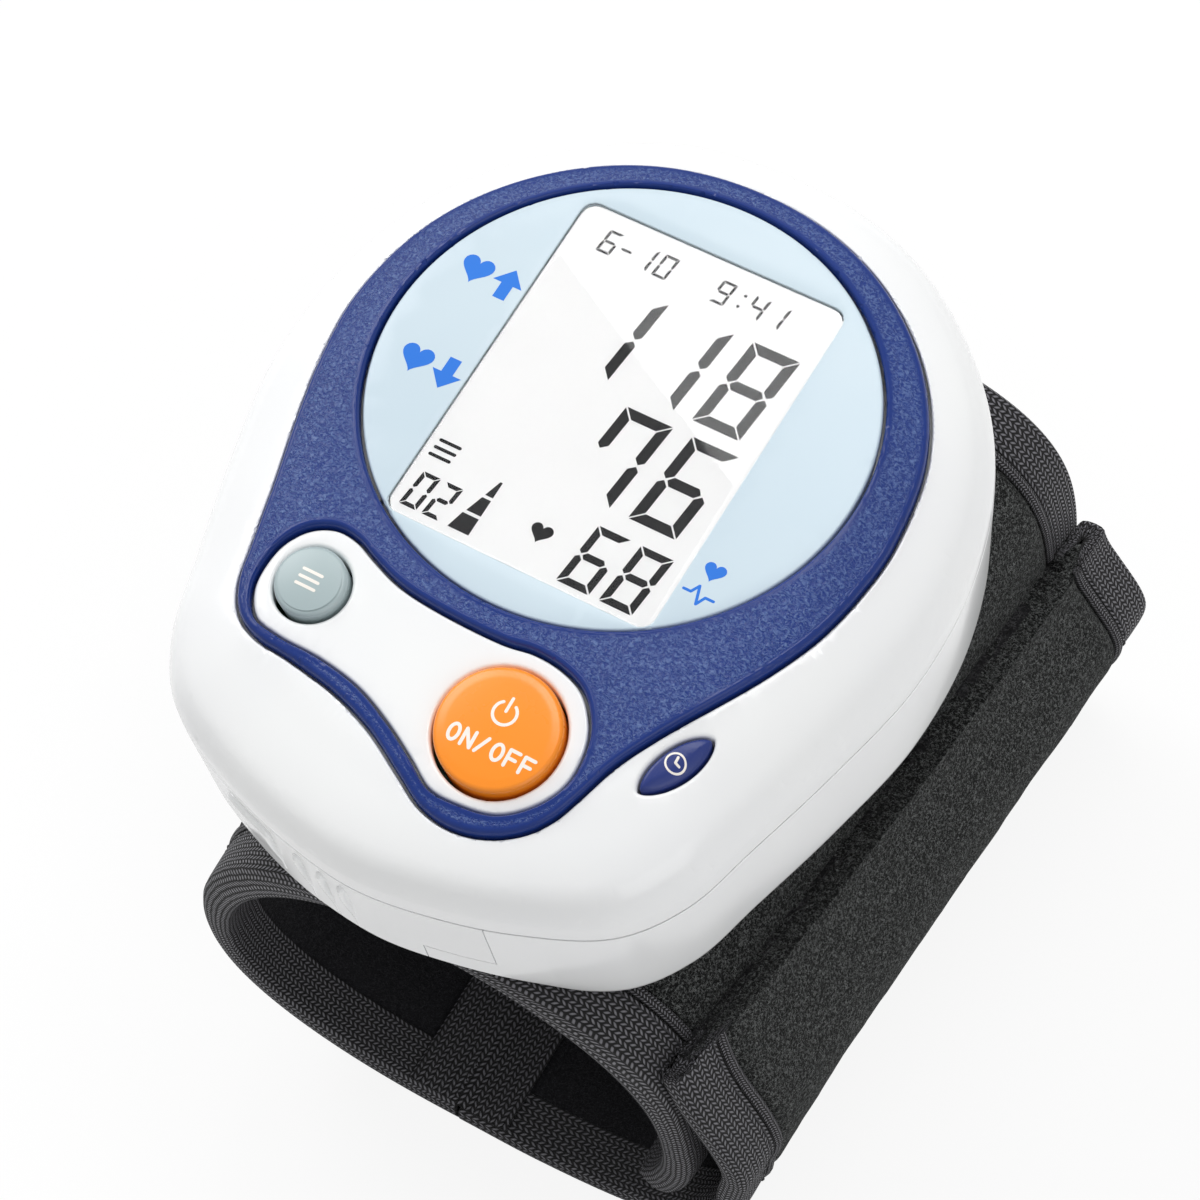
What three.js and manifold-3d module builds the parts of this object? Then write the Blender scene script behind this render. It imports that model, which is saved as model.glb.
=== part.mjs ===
// A wrist blood pressure monitor: a display housing on a cuff that wraps round the wrist.
// Millimetres. The origin is on the wrist's axis, under the middle of the display;
// +X is the display's right, +Y points to the hand and +Z comes out of the display.
import * as THREE from 'three';
import { mergeVertices } from 'three/addons/utils/BufferGeometryUtils.js';
import Module from 'manifold-3d';

const wasm = await Module();
wasm.setup();

// Driving dimensions shared by several pieces
const gap = 0.3;
const overrun = 3;
const seamHeight = 14.8;
const wall = 2.2;
const shellSideWidth = 6.6;
const shellHandWidth = 6.5;
const shellArmWidth = 7.3;
const recessDepth = 2.1;
const bodySteps = 36;

// Right half of the housing seen from above, from the hand end round to the arm end
const bodyShares = [
  [0, 1], [0.338, 0.95], [0.636, 0.765], [0.87, 0.48], [0.984, 0.142], [1, -0.152],
  [0.936, -0.378], [0.854, -0.586], [0.787, -0.742], [0.668, -0.856], [0.436, -0.937],
  [0.213, -0.981], [0, -1],
];

// Crown of the front shell: how far in from the side, and how far below the face
const crownWidth = 11.5;
const crownDrop = 9;
const crownShares = [
  [0, 1], [0.02, 0.89], [0.08, 0.69], [0.17, 0.52], [0.28, 0.41], [0.42, 0.3],
  [0.6, 0.19], [1, 0.02],
];
const crownCoreShares = [0.62, 0.25];
const keySlope = 0.12;
const keySlopeStart = -25;

// Rear shell
const rearFoot = 1.4;
const rearDraft = 0.7;
const rearRound = 1.2;
const floorWall = 1.8;

// Blue bezel: the upper edge is half an oval, the lower edge runs round the two keys
const bezelSideWidth = 5;
const bezelHandWidth = 3.4;
const lobeReach = 21.1;
const bezelRaise = 0.7;
const bezelSeat = 1;
const bezelArcs = 9;
const bezelSteps = 60;
const islandSteps = 36;
const bezelShares = [
  [-0.971, -0.172], [-0.916, -0.335], [-0.848, -0.5], [-0.8, -0.645], [-0.771, -0.727],
  [-0.71, -0.791], [-0.616, -0.824], [-0.484, -0.835], [-0.294, -0.857], [-0.132, -0.894],
  [0.029, -0.952], [0.135, -0.989], [0.242, -1], [0.352, -0.985], [0.458, -0.943],
  [0.526, -0.888], [0.568, -0.824], [0.613, -0.736], [0.681, -0.645], [0.787, -0.518],
  [0.881, -0.39], [0.952, -0.264], [0.99, -0.137],
];
const islandShares = [
  [-0.723, -0.656], [-0.719, -0.727], [-0.655, -0.789], [-0.552, -0.806], [-0.39, -0.811],
  [-0.232, -0.83], [-0.1, -0.866], [0.032, -0.914], [0.135, -0.954], [0.242, -0.956],
  [0.368, -0.938], [0.468, -0.883], [0.519, -0.819], [0.523, -0.749], [0.494, -0.685],
  [0.416, -0.623], [0.323, -0.597], [0.216, -0.59], [0.106, -0.6], [-0.161, -0.597],
  [-0.297, -0.584], [-0.403, -0.559], [-0.484, -0.537], [-0.565, -0.533], [-0.645, -0.559],
  [-0.7, -0.606],
];

// Pale face panel and the screen behind its window
const panelBorder = 0.47;
const panelCentreY = 0.8;
const panelThickness = 1;
const windowWidth = 30.15;
const windowHeight = 40;
const windowCorner = 1.5;
const lensBorder = 0.8;
const lensFlange = 0.6;
const glassBorder = 1;
const glassThickness = 2.8;
const reflectorThickness = 1;
const reflectorRoom = 1.4;
const frameWall = 1.4;
const stripWidth = 1.8;

// Main board and the posts that carry it
const boardThickness = 1.6;
const boardRoom = 0.4;
const boardInset = 5;
const postRadius = 2;
const postSideRoom = 11.6;
const postPumpRoom = 7.5;
const armPostX = -4;
const armPostRoom = 9.2;

// Keys
const keyTravel = 0.6;
const startShare = [0.242, -0.7775];
const startIslandShare = 0.183;
const startMargin = 1.96;
const memoryShare = [-0.542, -0.67];
const memoryIslandShare = 0.1365;
const memoryMargin = 2.5;
const keyRaise = 0.95;
const keyDome = 0.35;
const keyDomeShare = 0.7;
const keyEdge = 0.65;
const keySkin = 1.3;
const flangeWidth = 1;
const flangeThickness = 1.4;
const stemRadius = 1.4;
const clockShare = [0.52, -0.888];
const clockShift = [7.9, 10];
const clockLength = 8.6;
const clockWidth = 3.2;
const earReach = 1.2;
const earDrop = 0.9;
const earInnerRadius = 3;
const clockTurn = -25;
const clockSwitchShift = -0.5;
const clockRaise = 0.5;
const switchSide = 3.6;
const switchHeight = 1.5;
const plungerRadius = 1;
const plungerProud = 0.7;

// Cells, their holder and the sliding cover
const cellRadius = 5.25;
const cellLength = 44.5;
const nubLength = 1;
const nubRadius = 1.9;
const cellCentreX = -1.2;
const cellArmRoom = 16.1;
const cellSpacing = 0.6;
const holderWall = 1.2;
const holderRoof = 1;
const holderSideRoom = 0.5;
const holderCornerShare = 0.81;
const springRoom = 2.4;
const springRadius = 3.4;
const plateThickness = 0.4;
const plateRadius = 3.6;
const coverRight = 13.2;
const coverSetback = 1.9;
const stepLeft = 5.8;
const stepHeight = 5.6;
const gripProud = 0.5;
const gripFoot = 2;
const gripHead = 1.5;
const gripPadX = [-17.5, -11.2];
const gripRibX = [-7.6, -4.5, -1.9];
const gripRibWidth = 0.9;
const tongueWidth = 4;
const tongueLength = 5;
const tongueThickness = 1;
const tongueLeft = -24.5;

// Pump, valve, sensor and their air way
const motorRoom = 0.6;
const motorLength = 20;
const motorRight = -6;
const pumpRoom = 16;
const motorBore = 4;
const motorEndWall = 1.5;
const shaftRadius = 1;
const rotorRadius = 3.5;
const crankRadius = 2.2;
const crankLength = 2;
const headLength = 14;
const headBore = 2.6;
const outletLength = 3;
const outletRadius = 1.3;
const valveRadius = 4;
const valveLength = 12;
const valveSideRoom = 18;
const valveRoom = 22;
const valveHeadRadius = 2;
const valveHeadHeight = 1.2;
const valvePinRadius = 1.2;
const valveTravel = 0.8;
const valvePinLength = 6;
const sensorSide = 7;
const sensorHeight = 4;
const sensorX = -13;
const sensorHandRoom = 10.8;
const junctionRadius = 3;
const junctionHeight = 6;
const junctionHandRoom = 11.8;
const portLength = 2.5;
const portRise = 4.4;
const portTurns = { sensor: 180, valve: -10, pump: -45 };
const sensorNipple = 2.4;
const nippleRadius = 2;
const nippleBore = 1;
const tubeRadius = 1.3;
const tubeSides = 8;
const tubeSteps = 7;
const buzzerRadius = 4.5;
const buzzerHeight = 2.6;
const buzzerX = 6;
const buzzerHandRoom = 8.8;

// Fasteners
const screwRadius = 1;
const screwHeadRadius = 2;
const screwHeadHeight = 1.4;
const screwSink = 1.2;
const screwReach = 5;
const bossRadius = 2.5;
const rearBossRadius = 3.4;
const boardScrewRadius = 0.8;
const boardScrewReach = 2;
const handBossRoom = [16.1, 11.8];
const sideBossRoom = 7.1;
const sideBossY = -12;
const rivetRadius = 1.1;
const rivetHeadRadius = 2;
const rivetHeadHeight = 0.8;
const rivetRoom = 6.75;
const handRivetRoom = 9;

// Cuff: the wrist's section, the outside of the first layer, and the strap's loose end.
// Widths are those of the hand end; the cuff narrows evenly towards the arm end. On the left
// the wrist is narrower, rounder above, and widest at a lower place.
const armWidthShare = 0.94;
const boreHalfWidth = 30.5;
const boreHalfHeight = 24.5;
const borePower = 2.3;
const boreLeftWidth = 27.8;
const boreLeftPower = 1.65;
const leftDrop = 6.5;
const cuffSide = 3.7;
const cuffLeftSide = 3;
const cuffTop = 3;
const cuffBottom = 4.2;
const coverTopPower = 3.5;
const coverLeftPower = 2;
const coverBottomPower = 2.3;
const cuffArmInset = 2.7;
const cuffHandInset = 2.8;
const innerEndTurn = -36;
const hingeTurn = 270;
const cuffSteps = 60;
const liningShares = [0, 0.17];
const bladderShares = [0.28, 0.44];
const stiffenerShares = [0.55, 0.7];
const coverShares = [0.81, 1];
const bladderTurns = [-20, 200];
const bindingWidth = 1.5;
const tailThickness = 3;
const tailRoom = 8.8;
const tailBulgeRise = -6;
const tailSteps = 22;
const tailShares = [[0.28, 1], [0.6, 0.91], [0.86, 0.7], [0.975, 0.43]];
const tailHandShares = [[0.965, 0.017], [0.93, 0.1], [0.893, 0.174]];
const tailArmWidthShare = 0.88;
const tailArmShares = [[1.03, 0.035], [1.005, 0.25], [0.957, 0.5], [0.878, 0.73]];
const tailCornerTrim = 4;
const tailCornerStart = 0.8;
const tailCoverShares = [0, 0.56];
const tailLiningShares = [0.66, 1];
const hookStartShare = 0.76;

// Heights, from the wrist's axis up to the face
const coverTop = boreHalfHeight + cuffTop;
const coverBottom = boreHalfHeight + cuffBottom;
const coverHalfWidth = boreHalfWidth + cuffSide;
const coverLeftWidth = boreLeftWidth + cuffLeftSide;
const bottomRise = coverTop - recessDepth;
const seamRise = bottomRise + seamHeight;
const floorTop = coverTop + gap + floorWall;
const cellRise = floorTop + gap + cellRadius;
const holderTop = cellRise + cellRadius + gap + holderRoof;
const boardRise = holderTop + gap + boardRoom;
const boardTop = boardRise + boardThickness;
const reflectorFoot = boardTop + gap + reflectorRoom;
const glassFoot = reflectorFoot + reflectorThickness + gap;
const glassTop = glassFoot + glassThickness;
const lensFoot = glassTop + gap;
const roof = wall + gap;
const faceRise = lensFoot + lensFlange + gap + panelThickness;

// Widths and reaches, from the cells and the screen out to the housing's sides
const holderReach = cellLength / 2 - cellCentreX + springRoom + holderWall + holderSideRoom;
const bodyHalfWidth = (holderReach + wall + rearDraft) / holderCornerShare;
const bezelHalfWidth = bodyHalfWidth - shellSideWidth;
const panelHalfWidth = bezelHalfWidth - bezelSideWidth;
const glassHalfWidth = windowWidth / 2 + glassBorder;
const glassHalfHeight = windowHeight / 2 + glassBorder;
const cornerCut = windowCorner * (1 - Math.SQRT1_2);
const cornerX = windowWidth / 2 - cornerCut;
const cornerY = windowHeight / 2 - cornerCut + panelCentreY;
const panelHalfHeight = cornerY / Math.sqrt(1 - (cornerX / panelHalfWidth) ** 2) + panelBorder;
const bezelHandReach = panelCentreY + panelHalfHeight + bezelHandWidth;
const bezelArmReach = panelHalfHeight - panelCentreY + lobeReach;
const handReach = bezelHandReach + shellHandWidth;
const armReach = bezelArmReach + shellArmWidth;
const tailBulge = coverHalfWidth + tailRoom;
const cuffArmEnd = cuffArmInset - armReach;
const cuffHandEnd = handReach - cuffHandInset;
const motorRadius = (boardRise - floorTop) / 2 - motorRoom;

// Places, from the same sizes
const bezelPlace = ([x, y]) => [x * bezelHalfWidth, y * bezelArmReach];
const startPlace = bezelPlace(startShare);
const startRadius = startIslandShare * bezelArmReach - startMargin;
const memoryPlace = bezelPlace(memoryShare);
const memoryRadius = memoryIslandShare * bezelArmReach - memoryMargin;
const clockPlace = bezelPlace(clockShare).map((value, axis) => value + clockShift[axis]);
const armCellY = cellArmRoom - armReach;
const cellY = [armCellY, armCellY + cellRadius * 2 + cellSpacing];
const holderHandSide = cellY[1] + cellRadius + gap;
const coverBack = armCellY - coverSetback;
const handBoss = [bodyHalfWidth - handBossRoom[0], handReach - handBossRoom[1]];
const sideBossX = bodyHalfWidth - sideBossRoom;
const bossPlaces = [
  [-handBoss[0], handBoss[1]], handBoss, [-sideBossX, sideBossY], [sideBossX, sideBossY],
];
const junctionY = handReach - junctionHandRoom;
const rivetPlaces = [
  [0, holderHandSide + holderWall + rivetRoom], [0, junctionY - handRivetRoom],
];
const sensorPlace = [sensorX, handReach - sensorHandRoom];
const buzzerPlace = [buzzerX, handReach - buzzerHandRoom];
const pumpY = junctionY - pumpRoom;
const postX = bodyHalfWidth - postSideRoom;
const postY = pumpY + postPumpRoom;
const postPlaces = [[-postX, postY], [postX, postY], [armPostX, armPostRoom - armReach]];
const valveX = bodyHalfWidth - valveSideRoom;
const valveY = junctionY - valveRoom;

const root = new THREE.Group();

function finish(color, roughness, metalness = 0) {
  return new THREE.MeshStandardMaterial({ color, roughness, metalness });
}

// Solids: a closed geometry becomes a solid that can be joined and cut
function solidOf(geometry) {
  geometry.deleteAttribute('normal');
  geometry.deleteAttribute('uv');
  const merged = mergeVertices(geometry, 1e-4);
  const source = merged.index.array;
  const kept = [];
  for (let i = 0; i < source.length; i += 3) {
    const [a, b, c] = [source[i], source[i + 1], source[i + 2]];
    if (a !== b && b !== c && c !== a) kept.push(a, b, c);
  }
  const vertProperties = new Float32Array(merged.attributes.position.array);
  const triVerts = new Uint32Array(signedVolume(vertProperties, kept) < 0 ? kept.reverse() : kept);
  return new wasm.Manifold(new wasm.Mesh({ numProp: 3, vertProperties, triVerts }));
}

function signedVolume(places, corners) {
  const [a, b, c] = [new THREE.Vector3(), new THREE.Vector3(), new THREE.Vector3()];
  let sum = 0;
  for (let i = 0; i < corners.length; i += 3) {
    a.fromArray(places, corners[i] * 3);
    b.fromArray(places, corners[i + 1] * 3);
    c.fromArray(places, corners[i + 2] * 3);
    sum += a.dot(b.cross(c));
  }
  return sum;
}

function add(name, solid, material) {
  const { vertProperties, triVerts } = solid.getMesh();
  const geometry = new THREE.BufferGeometry();
  geometry.setAttribute('position', new THREE.BufferAttribute(new Float32Array(vertProperties), 3));
  geometry.setIndex(new THREE.BufferAttribute(new Uint32Array(triVerts), 1));
  geometry.computeVertexNormals();
  const mesh = new THREE.Mesh(geometry, material);
  mesh.name = name;
  root.add(mesh);
}

function joined(solids) {
  return solids.reduce((whole, next) => whole.add(next));
}

function box(x, y, z) {
  const geometry = new THREE.BoxGeometry(x[1] - x[0], y[1] - y[0], z[1] - z[0]);
  geometry.translate((x[0] + x[1]) / 2, (y[0] + y[1]) / 2, (z[0] + z[1]) / 2);
  return solidOf(geometry);
}

function prism(points, low, high) {
  const shape = new THREE.Shape(points.map(([x, y]) => new THREE.Vector2(x, y)));
  const geometry = new THREE.ExtrudeGeometry(shape, { depth: high - low, bevelEnabled: false });
  return solidOf(geometry.translate(0, 0, low));
}

// A turned piece about the Z axis through the given place, from a profile of [radius, height]
function turned(profile, [x, y] = [0, 0], sides = 24) {
  const points = profile.map(([radius, height]) => new THREE.Vector2(radius, height));
  const geometry = new THREE.LatheGeometry(points, sides);
  return solidOf(geometry.rotateX(Math.PI / 2).translate(x, y, 0));
}

function rod(radius, low, high, place, sides = 14) {
  return turned([[0, low], [radius, low], [radius, high], [0, high]], place, sides);
}

// The same turned piece laid along X, with its profile's height counted along +X
function turnedAlongX(profile, y, z, sides = 18) {
  const points = profile.map(([radius, height]) => new THREE.Vector2(radius, height));
  const geometry = new THREE.LatheGeometry(points, sides);
  return solidOf(geometry.rotateZ(-Math.PI / 2).translate(0, y, z));
}

function rodAlongX(radius, low, high, y, z, sides = 12) {
  return turnedAlongX([[0, low], [radius, low], [radius, high], [0, high]], y, z, sides);
}

function roundedRectangle(width, height, corner) {
  const shape = new THREE.Shape();
  const [x, y] = [width / 2, height / 2];
  shape.absarc(x - corner, y - corner, corner, 0, Math.PI / 2);
  shape.absarc(corner - x, y - corner, corner, Math.PI / 2, Math.PI);
  shape.absarc(corner - x, corner - y, corner, Math.PI, Math.PI * 1.5);
  shape.absarc(x - corner, corner - y, corner, Math.PI * 1.5, Math.PI * 2);
  return shape.getPoints(3).map((point) => [point.x, point.y]);
}

function smoothLoop(points, count) {
  const places = points.map(([x, y]) => new THREE.Vector3(x, y, 0));
  const curve = new THREE.CatmullRomCurve3(places, true, 'centripetal');
  return curve.getSpacedPoints(count).slice(0, count).map((point) => [point.x, point.y]);
}

// Moves each point of a closed outline along its outward normal
function grown(points, distance) {
  const count = points.length;
  const turnSign = Math.sign(THREE.ShapeUtils.area(points.map(([x, y]) => ({ x, y }))));
  return points.map(([x, y], i) => {
    const before = points[(i + count - 1) % count];
    const after = points[(i + 1) % count];
    const along = new THREE.Vector2(after[0] - before[0], after[1] - before[1]).normalize();
    return [x + along.y * distance * turnSign, y - along.x * distance * turnSign];
  });
}

// A solid through rings of the same count, closed at both ends by fans. The diagonals of its
// sides turn over half way round, so that facing sides of twisted layers stay parallel.
function loft(rings) {
  const count = rings[0].length;
  const places = rings.flat(2);
  const index = [];
  for (let k = 0; k + 1 < rings.length; k += 1) {
    for (let i = 0; i < count; i += 1) {
      const [a, b] = [k * count + i, k * count + ((i + 1) % count)];
      const [c, d] = [a + count, b + count];
      index.push(...(i < count / 2 ? [a, b, d, a, d, c] : [a, b, c, b, d, c]));
    }
  }
  const middle = (ring) => [0, 1, 2].map((axis) => ring.reduce((s, p) => s + p[axis], 0) / count);
  const last = (rings.length - 1) * count;
  const centre = rings.length * count;
  places.push(...middle(rings[0]), ...middle(rings[rings.length - 1]));
  for (let i = 0; i < count; i += 1) {
    const next = (i + 1) % count;
    index.push(next, i, centre, last + i, last + next, centre + 1);
  }
  const geometry = new THREE.BufferGeometry();
  geometry.setAttribute('position', new THREE.Float32BufferAttribute(places, 3));
  geometry.setIndex(index);
  return solidOf(geometry);
}

// Housing
const bodyHalf = bodyShares.map(([x, y]) => [x * bodyHalfWidth, y * (y > 0 ? handReach : armReach)]);
const bodyOutline = smoothLoop(
  [...bodyHalf, ...bodyHalf.slice(1, -1).reverse().map(([x, y]) => [-x, y])],
  bodySteps,
);

function crownLevel(inset, y) {
  const slopeShare = Math.min(1, inset / crownWidth);
  const slope = keySlope * Math.max(0, keySlopeStart - y) * slopeShare;
  const share = inset / crownWidth;
  const next = crownShares.findIndex(([place]) => place >= share);
  if (next === -1) return faceRise - slope;
  if (next === 0) return faceRise - crownDrop;
  const [a, b] = [crownShares[next - 1], crownShares[next]];
  const drop = a[1] + ((b[1] - a[1]) * (share - a[0])) / (b[0] - a[0]);
  return faceRise - drop * crownDrop - slope;
}

// The housing's domed block from a base height up, drawn in by inset and raised by lift
function crownBlock(base, inset, lift, rows = crownShares) {
  const side = grown(bodyOutline, -inset);
  const rings = [side.map(([x, y]) => [x, y, base])];
  for (const [share] of rows) {
    const ring = grown(side, -share * crownWidth);
    rings.push(ring.map(([x, y]) => [x, y, crownLevel(share * crownWidth, y) + lift]));
  }
  const inner = rings[rings.length - 1];
  for (const share of crownCoreShares) {
    rings.push(inner.map(([x, y]) => {
      const [px, py] = [x * share, y * share];
      return [px, py, crownLevel(crownWidth + overrun, py) + lift];
    }));
  }
  return loft(rings);
}

// The room under the front shell's roof, which needs only every other row of the crown
function roofBlock(base, clearance) {
  const rows = crownShares.filter((_, row) => row % 2 === 0 || row === crownShares.length - 1);
  return crownBlock(base, wall + clearance, -roof - clearance, rows);
}

function surfaceAt([, y]) {
  return crownLevel(crownWidth + overrun, y);
}

function bezelOutline() {
  const upper = [];
  for (let i = 0; i <= bezelArcs; i += 1) {
    const turn = (Math.PI * i) / bezelArcs;
    upper.push([bezelHalfWidth * Math.cos(turn), bezelHandReach * Math.sin(turn)]);
  }
  const lower = bezelShares.map(([x, y]) => [x * bezelHalfWidth, y * bezelArmReach]);
  return smoothLoop([...upper, ...lower], bezelSteps);
}

function islandOutline() {
  return smoothLoop(islandShares.map(([x, y]) => [x * bezelHalfWidth, y * bezelArmReach]), islandSteps);
}

function oval(halfWidth, halfHeight, centreY, count = 36) {
  return Array.from({ length: count }, (_, i) => {
    const turn = (Math.PI * 2 * i) / count;
    return [halfWidth * Math.cos(turn), centreY + halfHeight * Math.sin(turn)];
  });
}

function bezelRegion(clearance, low, high) {
  const outer = prism(grown(bezelOutline(), clearance), low, high);
  const inner = prism(grown(islandOutline(), -clearance), low - overrun, high + overrun);
  return outer.subtract(inner);
}

function panelRegion(clearance, low, high) {
  const edge = panelHalfWidth + clearance;
  return prism(oval(edge, panelHalfHeight + clearance, panelCentreY), low, high);
}

// The window's outline, grown on all sides
function displayRectangle(extra) {
  const [width, height] = [windowWidth + extra * 2, windowHeight + extra * 2];
  return roundedRectangle(width, height, windowCorner + extra);
}

// Keys follow the slope of the surface that they come out of
function tilted(solid, place) {
  const turn = (Math.atan(keySlope) * 180) / Math.PI;
  return solid.rotate([turn, 0, 0]).translate([place[0], place[1], surfaceAt(place)]);
}

function keyHole(place, radius) {
  return tilted(rod(radius + gap, -roof - overrun, overrun, [0, 0], 32), place);
}

function leaf(extraLength, extraWidth) {
  const [long, wide] = [clockLength / 2 + extraLength, clockWidth / 2 + extraWidth];
  const steps = 7;
  const points = [];
  for (let i = 0; i < steps; i += 1) {
    const turn = (Math.PI * i) / steps;
    points.push([wide * Math.sin(turn), long * Math.cos(turn)]);
  }
  for (let i = 0; i < steps; i += 1) {
    const turn = (Math.PI * i) / steps;
    points.push([-wide * Math.sin(turn), -long * Math.cos(turn)]);
  }
  const turn = (clockTurn * Math.PI) / 180;
  return points.map(([x, y]) => [
    clockPlace[0] + x * Math.cos(turn) - y * Math.sin(turn),
    clockPlace[1] + x * Math.sin(turn) + y * Math.cos(turn),
  ]);
}

const switchTop = boardTop + gap + switchHeight;
const plungerTop = switchTop + plungerProud;
const keyFoot = plungerTop + gap;

function frontShell() {
  const block = crownBlock(seamRise + gap, 0, 0);
  const hollow = roofBlock(seamRise - overrun, 0);
  const bosses = bossPlaces.map((place) => rod(bossRadius, seamRise + gap, faceRise, place));
  const posts = postPlaces.map((place) => rod(postRadius, boardTop + gap, faceRise, place));
  const inside = crownBlock(seamRise, wall / 2, -wall / 2);
  let shell = block.subtract(hollow).add(joined([...bosses, ...posts]).intersect(inside));
  const seat = crownBlock(seamRise, 0, -bezelSeat - gap);
  shell = shell.subtract(bezelRegion(gap, seamRise, faceRise + overrun).subtract(seat));
  const pocket = faceRise - panelThickness - gap;
  shell = shell.subtract(panelRegion(gap, pocket, faceRise + overrun));
  const opening = displayRectangle(glassBorder + gap);
  const threads = bossPlaces.map((place) => {
    return rod(screwRadius + gap, seamRise, seamRise + gap + screwReach + gap, place, 12);
  });
  const holes = postPlaces.map((place) => {
    return rod(boardScrewRadius + gap, boardTop, boardTop + boardScrewReach + gap, place, 12);
  });
  return shell.subtract(joined([
    prism(opening, seamRise, faceRise + overrun),
    keyHole(startPlace, startRadius),
    keyHole(memoryPlace, memoryRadius),
    prism(leaf(gap, gap), boardTop, faceRise + overrun),
    ...threads,
    ...holes,
  ]));
}

// The cuff's block, grown on all sides, that the rear shell's underside and floor follow
function cuffBlock(extra) {
  const steps = Array.from({ length: cuffSteps }, (_, i) => (360 * i) / cuffSteps);
  const outline = grown(steps.map((turn) => coverAt(turn)), extra);
  return loft([-armReach - overrun, handReach + overrun].map((y) => {
    return outline.map(([x, z]) => [x * widthShare(y), y, z]);
  }));
}

function rearBlock(extra) {
  const ring = (inset, z) => grown(bodyOutline, extra - inset).map(([x, y]) => [x, y, z]);
  return loft([
    ring(rearFoot, bottomRise),
    ring(rearDraft, bottomRise + rearRound),
    ring(0, seamRise),
  ]);
}

function rearHollow() {
  const inset = wall + rearDraft;
  const ring = (z) => grown(bodyOutline, -inset).map(([x, y]) => [x, y, z]);
  const room = loft([ring(bottomRise + floorWall), ring(seamRise + overrun)]);
  return room.subtract(cuffBlock(gap + floorWall));
}

function coverZone(clearance) {
  const arm = -armReach - overrun;
  const low = bottomRise - overrun;
  const whole = box(
    [-bodyHalfWidth - overrun, coverRight + clearance],
    [arm, coverBack + clearance],
    [low, seamRise + overrun],
  );
  const step = box(
    [stepLeft + clearance, coverRight + overrun],
    [arm - overrun, coverBack + overrun],
    [low - overrun, bottomRise + stepHeight - clearance],
  );
  return whole.subtract(step);
}

function rearShell() {
  const bosses = bossPlaces.map((place) => rod(rearBossRadius, bottomRise + rearRound, seamRise, place));
  const shell = rearBlock(0).subtract(rearHollow()).add(joined(bosses).intersect(rearBlock(0)));
  const headTop = bottomRise + screwSink + screwHeadHeight + gap;
  const cuts = bossPlaces.flatMap((place) => [
    rod(screwHeadRadius + gap, bottomRise - overrun, headTop, place),
    rod(screwRadius + gap, bottomRise, seamRise + overrun, place, 12),
  ]);
  const rivetHoles = rivetPlaces.map((place) => {
    return rod(rivetRadius + gap, bottomRise - overrun, floorTop + overrun, place, 12);
  });
  const airHole = rod(nippleRadius + gap, bottomRise - overrun, floorTop + overrun, [0, junctionY], 16);
  return shell
    .subtract(cuffBlock(gap))
    .subtract(coverZone(gap))
    .subtract(joined([...cuts, ...rivetHoles, airHole]));
}

function batteryCover() {
  const skin = rearBlock(0).subtract(rearHollow()).intersect(coverZone(0)).subtract(cuffBlock(gap));
  const arm = [-armReach - overrun, coverBack - cellRadius];
  const tall = [bottomRise + gripFoot, seamRise - gripHead];
  const ribs = gripRibX.map((x) => box([x - gripRibWidth / 2, x + gripRibWidth / 2], arm, tall));
  const grips = joined([box(gripPadX, arm, tall), ...ribs]);
  const proud = rearBlock(gripProud).subtract(rearHollow()).intersect(grips);
  const tongueLow = floorTop - gap - tongueThickness;
  const tongue = box(
    [tongueLeft, tongueLeft + tongueWidth],
    [coverBack - tongueLength, coverBack + tongueLength],
    [tongueLow, floorTop - gap / 2],
  );
  return skin.add(proud).add(tongue).subtract(cuffBlock(gap));
}

function bezel() {
  const region = bezelRegion(0, seamRise, faceRise + overrun);
  const raised = region.intersect(crownBlock(seamRise, 0, bezelRaise));
  const inner = panelRegion(gap, seamRise - overrun, faceRise + overrun);
  return raised.subtract(crownBlock(seamRise - overrun, 0, -bezelSeat)).subtract(inner);
}

function facePanel() {
  const plate = panelRegion(0, faceRise - panelThickness, faceRise);
  return plate.subtract(prism(displayRectangle(0), seamRise, faceRise + overrun));
}

// What lies under the front shell's roof stays clear of its curve
function underRoof(solid) {
  return solid.intersect(roofBlock(boardTop - overrun, gap));
}

// The lens fills the window; its flange and the screen lie in the front shell, under the panel
function displayLens() {
  const plug = prism(displayRectangle(-gap), lensFoot, faceRise);
  const flange = prism(displayRectangle(lensBorder), lensFoot, lensFoot + lensFlange);
  return plug.add(flange.intersect(panelRegion(0, boardTop, faceRise)));
}

function displayFrame() {
  const [x, y] = [glassHalfWidth + gap, glassHalfHeight + gap];
  const [low, high] = [boardTop + gap, lensFoot];
  const outer = box([-x - frameWall, x + frameWall], [-y - frameWall, y + frameWall], [low, high]);
  return underRoof(outer.subtract(box([-x, x], [-y, y], [boardTop, high + overrun])));
}

function displayGlass() {
  const plate = prism(displayRectangle(glassBorder), glassFoot, glassTop);
  return plate.intersect(crownBlock(boardTop, 0, -bezelSeat - gap));
}

function displayReflector() {
  const armEdge = -glassHalfHeight + stripWidth + gap;
  const top = reflectorFoot + reflectorThickness;
  return box([-glassHalfWidth, glassHalfWidth], [armEdge, glassHalfHeight], [reflectorFoot, top]);
}

function contactStrip() {
  const edge = -glassHalfHeight;
  return box([-glassHalfWidth + stripWidth, glassHalfWidth - stripWidth], [edge, edge + stripWidth], [
    boardTop + gap,
    glassFoot - gap,
  ]);
}

function mainBoard() {
  const plate = prism(grown(bodyOutline, -boardInset), boardRise, boardTop);
  const cuts = bossPlaces.map((place) => rod(bossRadius + gap, seamRise, faceRise, place));
  const holes = postPlaces.map((place) => {
    return rod(boardScrewRadius + gap, seamRise, faceRise, place, 12);
  });
  return plate.subtract(joined([...cuts, ...holes]));
}

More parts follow.
